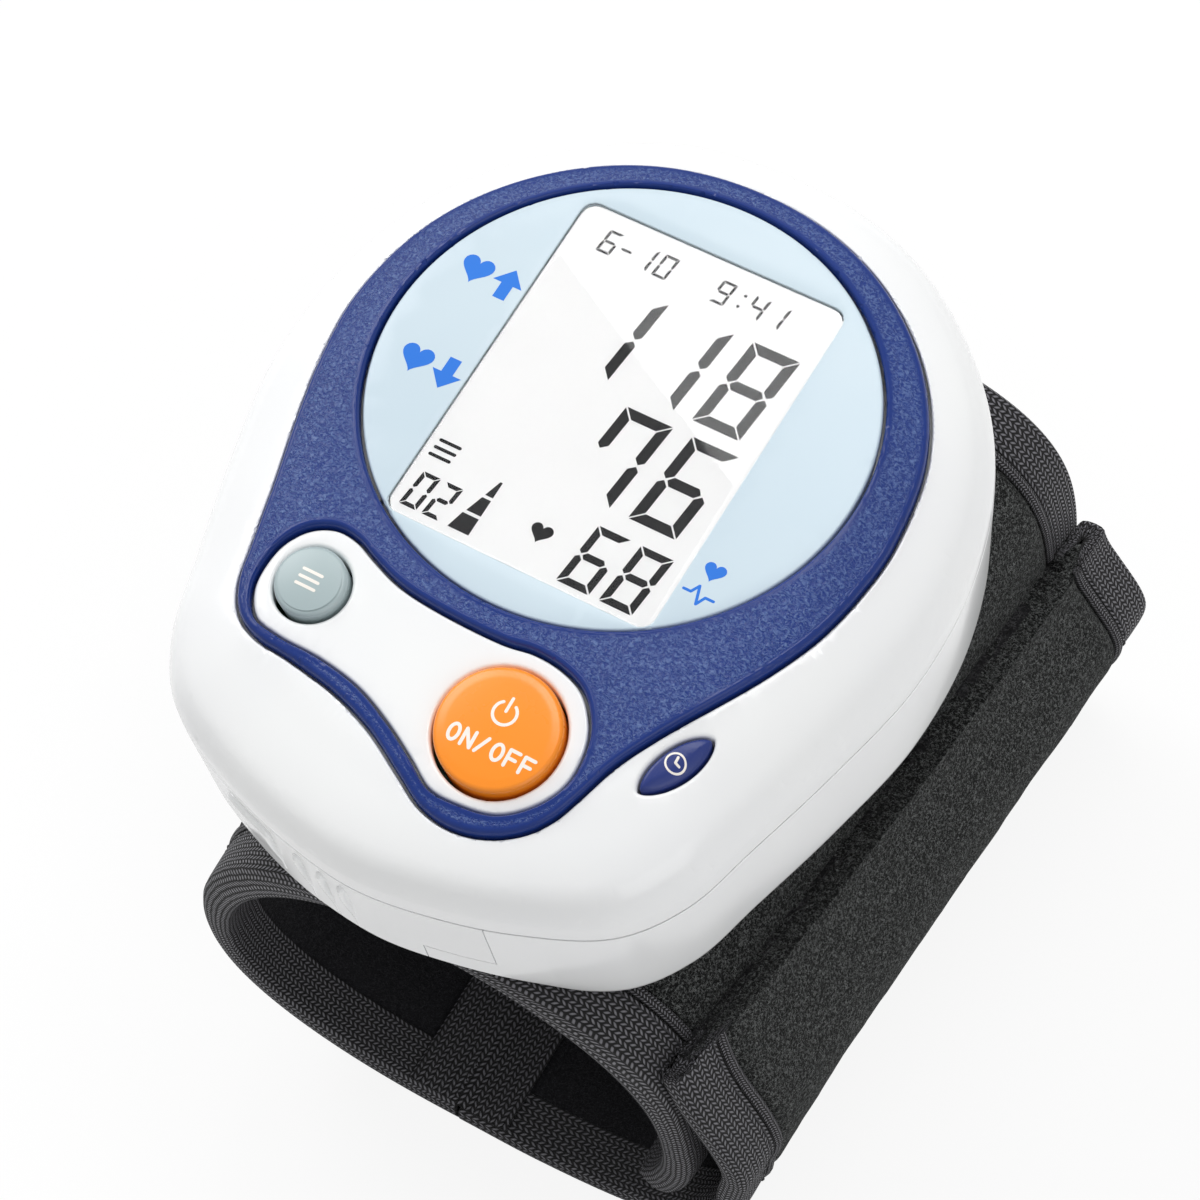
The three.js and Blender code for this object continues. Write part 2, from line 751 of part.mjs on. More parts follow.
function roundKey(place, radius) {
  const flangeTop = -roof - gap;
  const flangeFoot = flangeTop - flangeThickness;
  const flangeEdge = radius + gap + flangeWidth;
  const stemFoot = keyFoot - surfaceAt(place);
  const inner = radius - keySkin;
  const cap = turned([
    [0, stemFoot], [stemRadius, stemFoot], [stemRadius, keyRaise - keySkin],
    [inner, keyRaise - keySkin], [inner, flangeFoot], [radius, flangeFoot],
    [radius, keyRaise - keyEdge], [radius - keyEdge / 3, keyRaise - keyEdge / 3],
    [radius - keyEdge, keyRaise], [radius / 2, keyRaise + keyDome * keyDomeShare],
    [0, keyRaise + keyDome],
  ]);
  const flange = turned([
    [inner, flangeFoot], [flangeEdge, flangeFoot], [flangeEdge, flangeTop], [inner, flangeTop],
    [inner, flangeFoot],
  ]);
  return tilted(cap, place).add(underRoof(tilted(flange, place)));
}

function clockKey() {
  const foot = keyFoot - earDrop;
  const cap = prism(leaf(0, 0), foot, faceRise).intersect(crownBlock(seamRise, 0, clockRaise));
  const ears = prism(leaf(earReach, 0), foot, keyFoot + overrun);
  const middle = rod(earInnerRadius, seamRise, keyFoot, clockPlace);
  return cap.add(underRoof(ears)).subtract(middle);
}

function tactSwitch([x, y]) {
  const half = switchSide / 2;
  const shell = box([x - half, x + half], [y - half, y + half], [boardTop + gap, switchTop]);
  return shell.subtract(rod(plungerRadius + gap, boardTop, faceRise, [x, y], 16));
}

function switchPlunger(place) {
  return rod(plungerRadius, boardTop + gap + keyTravel, plungerTop, place, 16);
}

// Cells lie across the housing; each one's nub faces the other way
const cellLeft = cellCentreX - cellLength / 2;
const cellRight = cellCentreX + cellLength / 2;
const holderLeft = cellLeft - springRoom;
const holderRight = cellRight + springRoom;

function facingX(profile, facing, x, y) {
  const way = profile.map(([radius, height]) => [radius, height * facing]);
  return turnedAlongX(way, y, cellRise, 16).translate([x, 0, 0]);
}

function cell(y, facing) {
  const half = cellLength / 2;
  const shoulder = half - nubLength;
  const profile = [
    [0, -half], [cellRadius, -half], [cellRadius, shoulder], [nubRadius, shoulder],
    [nubRadius, half], [0, half],
  ];
  return facingX(profile, facing, cellCentreX, y);
}

function cellSpring(y, facing) {
  const start = facing > 0 ? holderLeft : holderRight;
  const reach = springRoom - gap;
  const profile = [
    [0, gap], [springRadius, gap], [springRadius, gap + plateThickness],
    [nubRadius, reach], [0, reach],
  ];
  return facingX(profile, facing, start, y);
}

function cellPlate(y, facing) {
  const start = facing > 0 ? holderRight : holderLeft;
  const profile = [
    [0, gap], [plateRadius, gap], [plateRadius, gap + plateThickness],
    [nubRadius, gap + plateThickness], [nubRadius / 2, springRoom - gap], [0, springRoom - gap],
  ];
  return facingX(profile, -facing, start, y);
}

function batteryHolder() {
  const x = [holderLeft - holderWall, holderRight + holderWall];
  const y = [armCellY, holderHandSide + holderWall];
  const low = bottomRise + floorWall + gap;
  const top = holderTop - holderRoof;
  const outer = box(x, y, [low, holderTop]);
  const room = box([holderLeft, holderRight], [y[0] - overrun, holderHandSide], [low - overrun, top]);
  return outer.subtract(room).subtract(cuffBlock(gap + floorWall + gap));
}

// Air way
const pumpRise = (floorTop + boardRise) / 2;
const motorLeft = motorRight - motorLength;
const headLeft = motorRight + gap;
const headRight = headLeft + headLength;

function pumpMotor() {
  const hole = shaftRadius + gap;
  return turnedAlongX([
    [0, motorLeft + motorEndWall], [motorBore, motorLeft + motorEndWall],
    [motorBore, motorRight - motorEndWall], [hole, motorRight - motorEndWall],
    [hole, motorRight], [motorRadius, motorRight], [motorRadius, motorLeft], [0, motorLeft],
  ], pumpY, pumpRise);
}

function motorRotor() {
  const [left, right] = [motorLeft + motorEndWall + gap, motorRight - motorEndWall - gap];
  const crank = headLeft + gap;
  return turnedAlongX([
    [0, left], [rotorRadius, left], [rotorRadius, right], [shaftRadius, right],
    [shaftRadius, crank], [crankRadius, crank], [crankRadius, crank + crankLength],
    [0, crank + crankLength],
  ], pumpY, pumpRise, 14);
}

function pumpHead() {
  const room = headLeft + gap + crankLength + gap;
  return turnedAlongX([
    [0, room], [headBore, room], [headBore, headLeft], [motorRadius, headLeft],
    [motorRadius, headRight], [outletRadius, headRight], [outletRadius, headRight + outletLength],
    [0, headRight + outletLength],
  ], pumpY, pumpRise);
}

function turnedAlongY(profile, x, z, sides = 16) {
  const points = profile.map(([radius, height]) => new THREE.Vector2(radius, height));
  return solidOf(new THREE.LatheGeometry(points, sides).translate(x, 0, z));
}

const valveRise = boardRise - gap - valveRadius;
const valveEnd = valveY + valveLength;

function valveBody() {
  const bore = valvePinRadius + gap;
  const bottom = valveY + valvePinLength;
  return turnedAlongY([
    [0, bottom], [bore, bottom], [bore, valveY], [valveRadius, valveY], [valveRadius, valveEnd],
    [outletRadius, valveEnd], [outletRadius, valveEnd + portLength], [0, valveEnd + portLength],
  ], valveX, valveRise);
}

function valvePlunger() {
  const head = valveY - gap - valveTravel;
  const tip = valveY + valvePinLength - gap - valveTravel;
  return turnedAlongY([
    [0, head - valveHeadHeight], [valveHeadRadius, head - valveHeadHeight], [valveHeadRadius, head],
    [valvePinRadius, head], [valvePinRadius, tip], [0, tip],
  ], valveX, valveRise, 16);
}

const junctionFoot = floorTop + gap;
const portZ = junctionFoot + portRise;

function airJunction() {
  const bore = nippleRadius + gap;
  const roomTop = floorTop + junctionHeight / 2;
  const core = turned([
    [0, roomTop], [bore, roomTop], [bore, junctionFoot], [junctionRadius, junctionFoot],
    [junctionRadius, junctionFoot + junctionHeight], [0, junctionFoot + junctionHeight],
  ], [0, 0], 20);
  const ports = Object.values(portTurns).map((turn) => {
    const port = rodAlongX(outletRadius, 0, junctionRadius + portLength, 0, portZ, 12);
    return port.subtract(rod(bore, junctionFoot, portZ, [0, 0], 20)).rotate([0, 0, turn]);
  });
  return joined([core, ...ports]).translate([0, junctionY, 0]);
}

function portEnd(turn) {
  const reach = junctionRadius + portLength + gap;
  const angle = (turn * Math.PI) / 180;
  return new THREE.Vector3(reach * Math.cos(angle), junctionY + reach * Math.sin(angle), portZ);
}

function airNipple() {
  const low = boreHalfHeight + (coverTop - boreHalfHeight) * bladderShares[1] + gap;
  const high = floorTop + junctionHeight / 2 - gap;
  return turned([
    [nippleBore, low], [nippleRadius, low], [nippleRadius, high], [nippleBore, high], [nippleBore, low],
  ], [0, junctionY], 16);
}

function tube(from, leave, to, arrive, reach) {
  const points = [
    from, from.clone().addScaledVector(leave, reach),
    to.clone().addScaledVector(arrive, reach), to,
  ];
  const path = new THREE.CubicBezierCurve3(...points);
  const section = new THREE.Shape();
  section.absarc(0, 0, tubeRadius, 0, Math.PI * 2);
  const shape = new THREE.Shape(section.getPoints(tubeSides / 2).slice(0, -1));
  return solidOf(new THREE.ExtrudeGeometry(shape, { steps: tubeSteps, extrudePath: path }));
}

const sensorTop = boardRise - gap;
const sensorFoot = sensorTop - sensorHeight;

function pressureSensor() {
  const [x, y] = sensorPlace;
  const half = sensorSide / 2;
  const block = box([x - half, x + half], [y - half, y + half], [sensorFoot, sensorTop]);
  return block.add(rod(outletRadius, sensorFoot - sensorNipple, sensorTop, sensorPlace, 12));
}

function airTubes() {
  const [along, down] = [new THREE.Vector3(1, 0, 0), new THREE.Vector3(0, 0, -1)];
  const diagonal = new THREE.Vector3(1, -1, 0).normalize();
  const outlet = new THREE.Vector3(headRight + outletLength + gap, pumpY, pumpRise);
  const sensor = new THREE.Vector3(...sensorPlace, sensorFoot - sensorNipple - gap);
  const valve = new THREE.Vector3(valveX, valveEnd + portLength + gap, valveRise);
  const reach = junctionRadius + portLength;
  return {
    air_tube_pump: tube(outlet, along, portEnd(portTurns.pump), diagonal, reach),
    air_tube_sensor: tube(
      portEnd(portTurns.sensor), along.clone().negate(), sensor, down, sensorSide / 2,
    ),
    air_tube_valve: tube(portEnd(portTurns.valve), along, valve, new THREE.Vector3(0, 1, 0), reach),
  };
}

// Fasteners
function housingScrew(place) {
  const low = bottomRise + screwSink;
  const top = seamRise + gap + screwReach;
  return turned([
    [0, low], [screwHeadRadius, low], [screwHeadRadius, low + screwHeadHeight],
    [screwRadius, low + screwHeadHeight], [screwRadius, top], [0, top],
  ], place, 10);
}

function boardScrew(place) {
  const head = boardRise - gap;
  const top = boardTop + boardScrewReach;
  const radius = boardScrewRadius * 2;
  return turned([
    [0, head - screwHeadHeight / 2], [radius, head - screwHeadHeight / 2], [radius, head],
    [boardScrewRadius, head], [boardScrewRadius, top], [0, top],
  ], place, 10);
}

function cuffRivet(place) {
  const low = boreHalfHeight + (coverTop - boreHalfHeight) * stiffenerShares[0];
  const head = floorTop + gap;
  return turned([
    [0, low], [rivetRadius, low], [rivetRadius, head], [rivetHeadRadius, head],
    [rivetHeadRadius, head + rivetHeadHeight], [0, head + rivetHeadHeight],
  ], place, 10);
}

// Cuff: every layer lies between the wrist's section and the outside of the first layer
function section([right, left], [rise, fall], [rightPower, leftPower, lowerPower], turn) {
  const angle = (turn * Math.PI) / 180;
  const [c, s] = [Math.cos(angle), Math.sin(angle)];
  const [halfWidth, middle, upperPower] = c < 0 ? [left, -leftDrop, leftPower] : [right, 0, rightPower];
  const [reach, power] = s < 0 ? [-fall - middle, lowerPower] : [rise - middle, upperPower];
  return [
    halfWidth * Math.sign(c) * Math.abs(c) ** (2 / power),
    middle + reach * Math.abs(s) ** (2 / power),
  ];
}

function boreAt(turn) {
  const powers = [borePower, boreLeftPower, borePower];
  return section([boreHalfWidth, boreLeftWidth], [boreHalfHeight, boreHalfHeight], powers, turn);
}

function coverAt(turn) {
  const powers = [coverTopPower, coverLeftPower, coverBottomPower];
  return section([coverHalfWidth, coverLeftWidth], [coverTop, coverBottom], powers, turn);
}

function between(a, b, share) {
  return [a[0] + (b[0] - a[0]) * share, a[1] + (b[1] - a[1]) * share];
}

function widthShare(y) {
  return armWidthShare + (1 - armWidthShare) * handShare(y);
}

// How far a place is from the cuff's arm end to its hand end
function handShare(y) {
  return (y - cuffArmEnd) / (cuffHandEnd - cuffArmEnd);
}

function layer([from, to], [start, end], edges) {
  const count = Math.ceil((cuffSteps * (end - start)) / 360);
  return loft(Array.from({ length: count + 1 }, (_, i) => {
    const turn = start + ((end - start) * i) / count;
    const [inner, outer] = [boreAt(turn), coverAt(turn)];
    const places = [between(inner, outer, from), between(inner, outer, to)];
    const side = (y) => places.map(([x, z]) => [x * widthShare(y), y, z]);
    return [...side(edges[0]), ...side(edges[1]).reverse()];
  }));
}

const cuffTurns = [innerEndTurn, hingeTurn];
const layerY = [cuffArmEnd + bindingWidth + gap, cuffHandEnd - bindingWidth - gap];
const layerHoles = joined([
  rod(nippleRadius + gap, 0, faceRise, [0, junctionY], 16),
  ...rivetPlaces.map((place) => rod(rivetRadius + gap, 0, faceRise, place, 12)),
]);

function tailCurve(bulge, endShares) {
  const points = [[gap, -coverBottom], ...tailShares.map(([x, z]) => [x * bulge, -z * coverBottom])];
  points.push([bulge, tailBulgeRise], ...endShares.map(([x, z]) => [x * bulge, z * coverBottom]));
  return new THREE.CatmullRomCurve3(points.map(([x, z]) => new THREE.Vector3(x, 0, z)));
}

const tailCurves = [
  tailCurve(tailBulge * tailArmWidthShare, tailArmShares),
  tailCurve(tailBulge, tailHandShares),
];

// A place on the loose end, from its share of the length, its depth from the outside and its Y
function tailPlace(share, depth, y) {
  const [x, z] = tailCurves.map((curve) => {
    const place = curve.getPointAt(share);
    const along = curve.getTangentAt(share);
    return [place.x - along.z * depth * tailThickness, place.z + along.x * depth * tailThickness];
  }).reduce((arm, hand) => between(arm, hand, handShare(y)));
  return [x, y, z];
}

// The arm end's corner of the loose end is cut off in a curve
function tailTrim(share) {
  return tailCornerTrim * Math.max(0, (share - tailCornerStart) / (1 - tailCornerStart)) ** 2;
}

// The loose end's layers share their stations, so that their gaps stay even
function tailStations(start, end) {
  const grid = Array.from({ length: tailSteps }, (_, i) => i / tailSteps);
  return [start, ...grid.filter((share) => share > start && share < end), end];
}

// A layer of the loose end, from shares of its length and of its thickness from the outside in
function tailLayer([from, to], [start, end], edges, trimmed = 1) {
  return loft(tailStations(start, end).map((share) => {
    const [low, high] = [edges[0] + tailTrim(share) * trimmed, edges[1]];
    return [
      tailPlace(share, to, low), tailPlace(share, from, low),
      tailPlace(share, from, high), tailPlace(share, to, high),
    ];
  }));
}

function cuffPieces() {
  return {
    cuff_lining: layer(liningShares, cuffTurns, layerY),
    air_bladder: layer(bladderShares, bladderTurns, layerY),
    cuff_stiffener: layer(stiffenerShares, cuffTurns, layerY).subtract(layerHoles),
    cuff_cover: layer(coverShares, cuffTurns, layerY).subtract(layerHoles),
    cuff_binding_arm: layer([0, 1], cuffTurns, [cuffArmEnd, cuffArmEnd + bindingWidth]),
    cuff_binding_hand: layer([0, 1], cuffTurns, [cuffHandEnd - bindingWidth, cuffHandEnd]),
  };
}

// The binding along the arm end follows the trimmed corner on both its edges
function tailArmBinding() {
  return loft(tailStations(0, 1).map((share) => {
    const [low, high] = [0, bindingWidth].map((width) => cuffArmEnd + width + tailTrim(share));
    return [
      tailPlace(share, 1, low), tailPlace(share, 0, low),
      tailPlace(share, 0, high), tailPlace(share, 1, high),
    ];
  }));
}

function tailPieces() {
  const gapShare = gap / tailCurves[1].getLength();
  return {
    strap_cover: tailLayer(tailCoverShares, [0, 1], layerY),
    strap_lining: tailLayer(tailLiningShares, [0, hookStartShare], layerY),
    hook_pad: tailLayer(tailLiningShares, [hookStartShare + gapShare, 1], layerY),
    strap_binding_arm: tailArmBinding(),
    strap_binding_hand: tailLayer([0, 1], [0, 1], [cuffHandEnd - bindingWidth, cuffHandEnd], 0),
  };
}

function addAll(pieces, material) {
  for (const [name, solid] of Object.entries(pieces)) add(name, solid, material);
}

const white = finish('#f3f4f5', 0.35);
const blue = finish('#3c4f94', 0.5);
const steel = finish('#c9ccd0', 0.3, 1);
const black = finish('#232425', 0.9);
const tape = finish('#2d2b31', 0.85);
const green = finish('#2f6b46', 0.6);

add('front_shell', frontShell(), white);
add('rear_shell', rearShell(), white);
add('battery_cover', batteryCover(), white);
add('bezel', bezel(), blue);
add('face_panel', facePanel(), finish('#d7e6f0', 0.25));
add('display_lens', displayLens(), finish('#eef2f4', 0.05));
add('display_frame', displayFrame(), white);
add('display_glass', displayGlass(), finish('#e9ecec', 0.1));
add('display_reflector', displayReflector(), finish('#f0f0ee', 0.6));
add('contact_strip', contactStrip(), finish('#3a3a3c', 0.7));
add('main_board', mainBoard(), green);
add('start_button', roundKey(startPlace, startRadius), finish('#ff9628', 0.3));
add('memory_button', roundKey(memoryPlace, memoryRadius), finish('#a5b4b6', 0.4));
add('clock_button', clockKey(), blue);
const clockSwitchPlace = clockPlace.map((value, axis) => {
  return value + (axis === 0 ? clockSwitchShift : -clockSwitchShift);
});
for (const [name, place] of Object.entries({
  start: startPlace, memory: memoryPlace, clock: clockSwitchPlace,
})) {
  add(`${name}_switch`, tactSwitch(place), steel);
  add(`${name}_plunger`, switchPlunger(place), black);
}
add('battery_holder', batteryHolder(), white);
for (const [name, y, facing] of [['outer', cellY[0], 1], ['inner', cellY[1], -1]]) {
  add(`battery_${name}`, cell(y, facing), finish('#3b3f46', 0.35, 0.4));
  add(`battery_spring_${name}`, cellSpring(y, facing), steel);
  add(`battery_plate_${name}`, cellPlate(y, facing), steel);
}
add('pump_motor', pumpMotor(), steel);
add('motor_rotor', motorRotor(), steel);
add('pump_head', pumpHead(), black);
add('valve_body', valveBody(), steel);
add('valve_plunger', valvePlunger(), steel);
add('pressure_sensor', pressureSensor(), black);
add('air_junction', airJunction(), black);
add('air_nipple', airNipple(), black);
addAll(airTubes(), finish('#d9d9d6', 0.6));
add('buzzer', rod(buzzerRadius, sensorTop - buzzerHeight, sensorTop, buzzerPlace, 24), black);
for (const [kind, places, make] of [
  ['housing_screw', bossPlaces, housingScrew],
  ['board_screw', postPlaces, boardScrew],
  ['cuff_rivet', rivetPlaces, cuffRivet],
]) {
  places.forEach((place, i) => add(`${kind}_${i + 1}`, make(place), steel));
}
for (const [name, solid] of Object.entries({ ...cuffPieces(), ...tailPieces() })) {
  add(name, solid, name.includes('binding') ? tape : black);
}

export default root;
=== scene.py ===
import math

import bmesh
import bpy
import numpy as np
from mathutils import Matrix, Vector
from mathutils.geometry import delaunay_2d_cdt


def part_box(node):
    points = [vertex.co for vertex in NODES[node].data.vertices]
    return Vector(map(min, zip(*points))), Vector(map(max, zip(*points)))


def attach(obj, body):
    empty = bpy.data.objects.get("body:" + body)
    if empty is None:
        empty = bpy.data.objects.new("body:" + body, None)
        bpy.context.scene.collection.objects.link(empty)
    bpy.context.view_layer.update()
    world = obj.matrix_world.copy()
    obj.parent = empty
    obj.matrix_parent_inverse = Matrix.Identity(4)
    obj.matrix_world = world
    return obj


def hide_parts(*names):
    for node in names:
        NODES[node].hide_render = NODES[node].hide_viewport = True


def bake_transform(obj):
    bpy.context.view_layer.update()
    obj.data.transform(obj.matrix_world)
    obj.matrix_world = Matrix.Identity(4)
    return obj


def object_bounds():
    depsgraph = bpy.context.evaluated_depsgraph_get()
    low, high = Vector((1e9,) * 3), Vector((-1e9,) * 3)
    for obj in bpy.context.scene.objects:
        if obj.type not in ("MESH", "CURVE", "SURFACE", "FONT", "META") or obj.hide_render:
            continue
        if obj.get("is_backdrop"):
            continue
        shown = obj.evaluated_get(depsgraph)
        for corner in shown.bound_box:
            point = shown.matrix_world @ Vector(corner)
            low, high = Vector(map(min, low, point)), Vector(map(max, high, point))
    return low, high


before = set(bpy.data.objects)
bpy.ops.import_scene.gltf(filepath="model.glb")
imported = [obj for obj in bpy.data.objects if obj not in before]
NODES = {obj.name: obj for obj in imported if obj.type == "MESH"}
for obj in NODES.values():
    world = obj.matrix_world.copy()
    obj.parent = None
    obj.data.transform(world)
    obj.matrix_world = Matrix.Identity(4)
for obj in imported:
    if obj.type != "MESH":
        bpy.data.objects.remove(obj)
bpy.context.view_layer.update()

MM = 0.001


def low(node):
    return [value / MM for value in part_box(node)[0]]


def high(node):
    return [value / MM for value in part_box(node)[1]]


# Sizes of the housing and its keys, most of them as in the part's source. The clock key is a
# little smaller here.
GAP = 0.3
FACE = high("face_panel")[2]
SEAM = high("rear_shell")[2]
BOTTOM = low("rear_shell")[2]
HALF_WIDTH, HAND_REACH, ARM_REACH = 37.593, 35.807, 52.707
BEZEL_HALF, BEZEL_HAND, BEZEL_ARM = 30.993, 29.307, 45.407
BEZEL_PROUD, BEZEL_SEAT = 0.7, 1
PANEL_HALF, PANEL_HEIGHT, PANEL_Y = 25.993, 25.107, 0.8
WINDOW, GLASS_BORDER, SCREEN_DEPTH = (30.15, 40.0, 1.5), 1.0, 0.42
PANEL_EDGE, WINDOW_EDGE, LENS_EDGE = 0.3, 0.15, 0.12
SEAT_EDGE, LEAF_EDGE, KEYHOLE_EDGE = 0.3, 0.4, 0.45
ROOF, WINDOW_LEDGE = 2.5, 2.0
CROWN_WIDTH, CROWN_DROP = 11.5, 9.0
KEY_SLOPE, KEY_SLOPE_START = 0.12, -25.0
START, START_RADIUS = (7.5, -35.304), 6.35
MEMORY, MEMORY_RADIUS = (-16.798, -30.423), 3.698
CLOCK, CLOCK_LENGTH, CLOCK_WIDTH, CLOCK_TURN = (24.016, -30.321), 8.3, 2.75, -25.0
KEY_RAISE, KEY_DOME, KEY_EDGE = 0.95, 0.35, 0.6
CLOCK_RAISE, CLOCK_DOME, CLOCK_EDGE = 0.2, 0.3, 0.4
WALL, FLOOR_WALL = 2.2, 1.8
KEY_SKIN, STEM_RADIUS, SKIRT_FOOT = 1.3, 1.4, -4.2
REAR_FOOT, REAR_DRAFT, REAR_ROUND, SEAM_EDGE = 1.4, 0.7, 1.2, 0.3
COVER_RIGHT, STEP_LEFT, STEP_HEIGHT = 13.2, 5.8, 5.6
COVER_BACK = -38.507
GRIP_FOOT, GRIP_HEAD, GRIP_PROUD = 2.0, 1.5, 0.62
GRIP_PAD, GRIP_RIBS, RIB_WIDTH = (-17.5, -11.2), (-7.6, -4.5, -1.9), 0.9
BOSS_HOLE = 2.3
BOSSES = [(-21.49, 24.01), (21.49, 24.01), (-30.49, -12.0), (30.49, -12.0)]
BODY_SHARES = [
    (0, 1), (0.338, 0.95), (0.636, 0.765), (0.87, 0.48), (0.984, 0.142), (1, -0.152),
    (0.936, -0.378), (0.854, -0.586), (0.787, -0.742), (0.668, -0.856), (0.436, -0.937),
    (0.213, -0.981), (0, -1),
]
CROWN_SHARES = [
    (0, 1), (0.02, 0.89), (0.08, 0.69), (0.17, 0.52), (0.28, 0.41), (0.42, 0.3), (0.6, 0.19),
    (1, 0.02), (1.25, 0),
]
BEZEL_SHARES = [
    (-0.971, -0.172), (-0.916, -0.335), (-0.848, -0.5), (-0.8, -0.645), (-0.771, -0.727),
    (-0.71, -0.791), (-0.616, -0.824), (-0.484, -0.835), (-0.294, -0.857), (-0.132, -0.894),
    (0.029, -0.952), (0.135, -0.989), (0.242, -1), (0.352, -0.985), (0.458, -0.943),
    (0.526, -0.888), (0.568, -0.824), (0.613, -0.736), (0.681, -0.645), (0.787, -0.518),
    (0.881, -0.39), (0.952, -0.264), (0.99, -0.137),
]
ISLAND_SHARES = [
    (-0.723, -0.656), (-0.719, -0.727), (-0.655, -0.789), (-0.552, -0.806), (-0.39, -0.811),
    (-0.232, -0.83), (-0.1, -0.866), (0.032, -0.914), (0.135, -0.954), (0.242, -0.956),
    (0.368, -0.938), (0.468, -0.883), (0.519, -0.819), (0.523, -0.749), (0.494, -0.685),
    (0.416, -0.623), (0.323, -0.597), (0.216, -0.59), (0.106, -0.6), (-0.161, -0.597),
    (-0.297, -0.584), (-0.403, -0.559), (-0.484, -0.537), (-0.565, -0.533), (-0.645, -0.559),
    (-0.7, -0.606),
]

# Cuff and strap, as in the part's source: each section is its widths to the right and left, its
# rise and fall, and how square it is above on the right, above on the left, and below
ARM_END, HAND_END = -50.007, 33.007
ARM_WIDTH_SHARE = 0.94
BORE = ((30.5, 27.8), (24.5, 24.5), (2.3, 1.65, 2.3))
COVER = ((34.2, 30.8), (27.5, 28.7), (3.5, 2.0, 2.3))
LEFT_DROP = 6.5
COVER_BOTTOM = 28.7
INNER_END_TURN, HINGE_TURN = -36.0, 270.0
TAIL_THICKNESS, TAIL_BULGE, TAIL_RISE = 3.0, 43.0, -6.0
TAIL_SHARES = [(0.28, 1), (0.6, 0.91), (0.86, 0.7), (0.975, 0.43)]
TAIL_HAND_SHARES = [(0.965, 0.017), (0.93, 0.1), (0.893, 0.174)]
TAIL_ARM_WIDTH_SHARE = 0.88
TAIL_ARM_SHARES = [(1.03, 0.035), (1.005, 0.25), (0.957, 0.5), (0.878, 0.73)]
TAIL_TRIM, TAIL_TRIM_START = 4.0, 0.8
HOOK_START = 0.76

# Trim that only the scene has: how far the strap goes beyond its solid, how high it lies over
# the first layer and where it settles on it, the bindings' tape with its ridge and stitches, the
# room that ridges leave at the fold, and the tapes over the fold
STRAP_REACH, STRAP_REST = 7.0, 0.3
SETTLE_BEFORE, SETTLE_OVER = 15, 19
TAPE_WIDTH, RIDGE_INSET, RIDGE_HALF, STITCH_INSET = 5.6, 0.8, (0.62, 0.46), 0.5
FOLD_ROOM = 0.9
HINGE_TAPE_REACH = (-6, 6.3)
END_ROUND = 1.6


# Lines and distances in a flat plan
def run_along(path):
    """The length of a path up to each of its points."""
    return np.concatenate([[0], np.cumsum(np.linalg.norm(np.diff(path, axis=0), axis=1))])


def spaced(line, count, closed=True):
    """The same line at even steps."""
    path = np.vstack([line, line[:1]]) if closed else np.asarray(line, float)
    run = run_along(path)
    at = np.linspace(0, run[-1], count, endpoint=not closed)
    return np.column_stack([np.interp(at, run, path[:, k]) for k in range(path.shape[1])])


def curve_through(points, closed):
    """A centripetal Catmull-Rom curve, finely sampled."""
    p = np.array(points, float)
    if closed:
        p = np.vstack([p[-1:], p, p[:2]])
    else:
        p = np.vstack([2 * p[:1] - p[1:2], p, 2 * p[-1:] - p[-2:-1]])
    parts = []
    for p0, p1, p2, p3 in zip(p, p[1:], p[2:], p[3:]):
        d0, d1, d2 = (max(np.linalg.norm(b - a), 1e-9) ** 0.5 for a, b in ((p0, p1), (p1, p2), (p2, p3)))
        leave = ((p1 - p0) / d0 - (p2 - p0) / (d0 + d1) + (p2 - p1) / d1) * d1
        arrive = ((p2 - p1) / d1 - (p3 - p1) / (d1 + d2) + (p3 - p2) / d2) * d1
        t = np.linspace(0, 1, 40, endpoint=False)[:, None]
        cubic = (2 * p1 - 2 * p2 + leave + arrive) * t**3
        parts.append(cubic + (3 * p2 - 3 * p1 - 2 * leave - arrive) * t**2 + leave * t + p1)
    if not closed:
        parts.append(p[-2:-1])
    return np.vstack(parts)


def smooth_loop(points, count):
    return spaced(curve_through(points, True), count)


def normals_of(line, closed=True):
    """Unit normals on the right of the way the line runs."""
    if closed:
        along = np.roll(line, -1, 0) - np.roll(line, 1, 0)
    else:
        along = np.gradient(line, axis=0)
    along /= np.linalg.norm(along, axis=1)[:, None]
    return np.column_stack([along[:, 1], -along[:, 0]])


def area_of(line):
    x, y = line[:, 0], line[:, 1]
    return 0.5 * float(np.sum(x * np.roll(y, -1) - np.roll(x, -1) * y))


def grown(line, distance):
    return line + normals_of(line) * distance * math.copysign(1, area_of(line))


def away(points, line):
    """How far each point is from a closed line."""
    start, step = line, np.roll(line, -1, 0) - line
    length = np.maximum((step**2).sum(1), 1e-12)
    found = np.empty(len(points))
    for k in range(0, len(points), 2000):
        reach = points[k:k + 2000, None] - start[None]
        share = np.clip((reach * step).sum(2) / length, 0, 1)
        found[k:k + 2000] = np.linalg.norm(reach - share[..., None] * step, axis=2).min(1)
    return found


def inside(points, line):
    x, y = points[:, :1], points[:, 1:2]
    ax, ay = line[:, 0], line[:, 1]
    bx, by = np.roll(ax, -1), np.roll(ay, -1)
    rise = np.where(by == ay, 1e-12, by - ay)
    crossed = ((ay > y) != (by > y)) & (x < (bx - ax) * (y - ay) / rise + ax)
    return crossed.sum(1) % 2 == 1


def oval(half_x, half_y, centre, count=200):
    turn = np.linspace(0, 2 * math.pi, count, endpoint=False)
    return np.column_stack([centre[0] + half_x * np.cos(turn), centre[1] + half_y * np.sin(turn)])


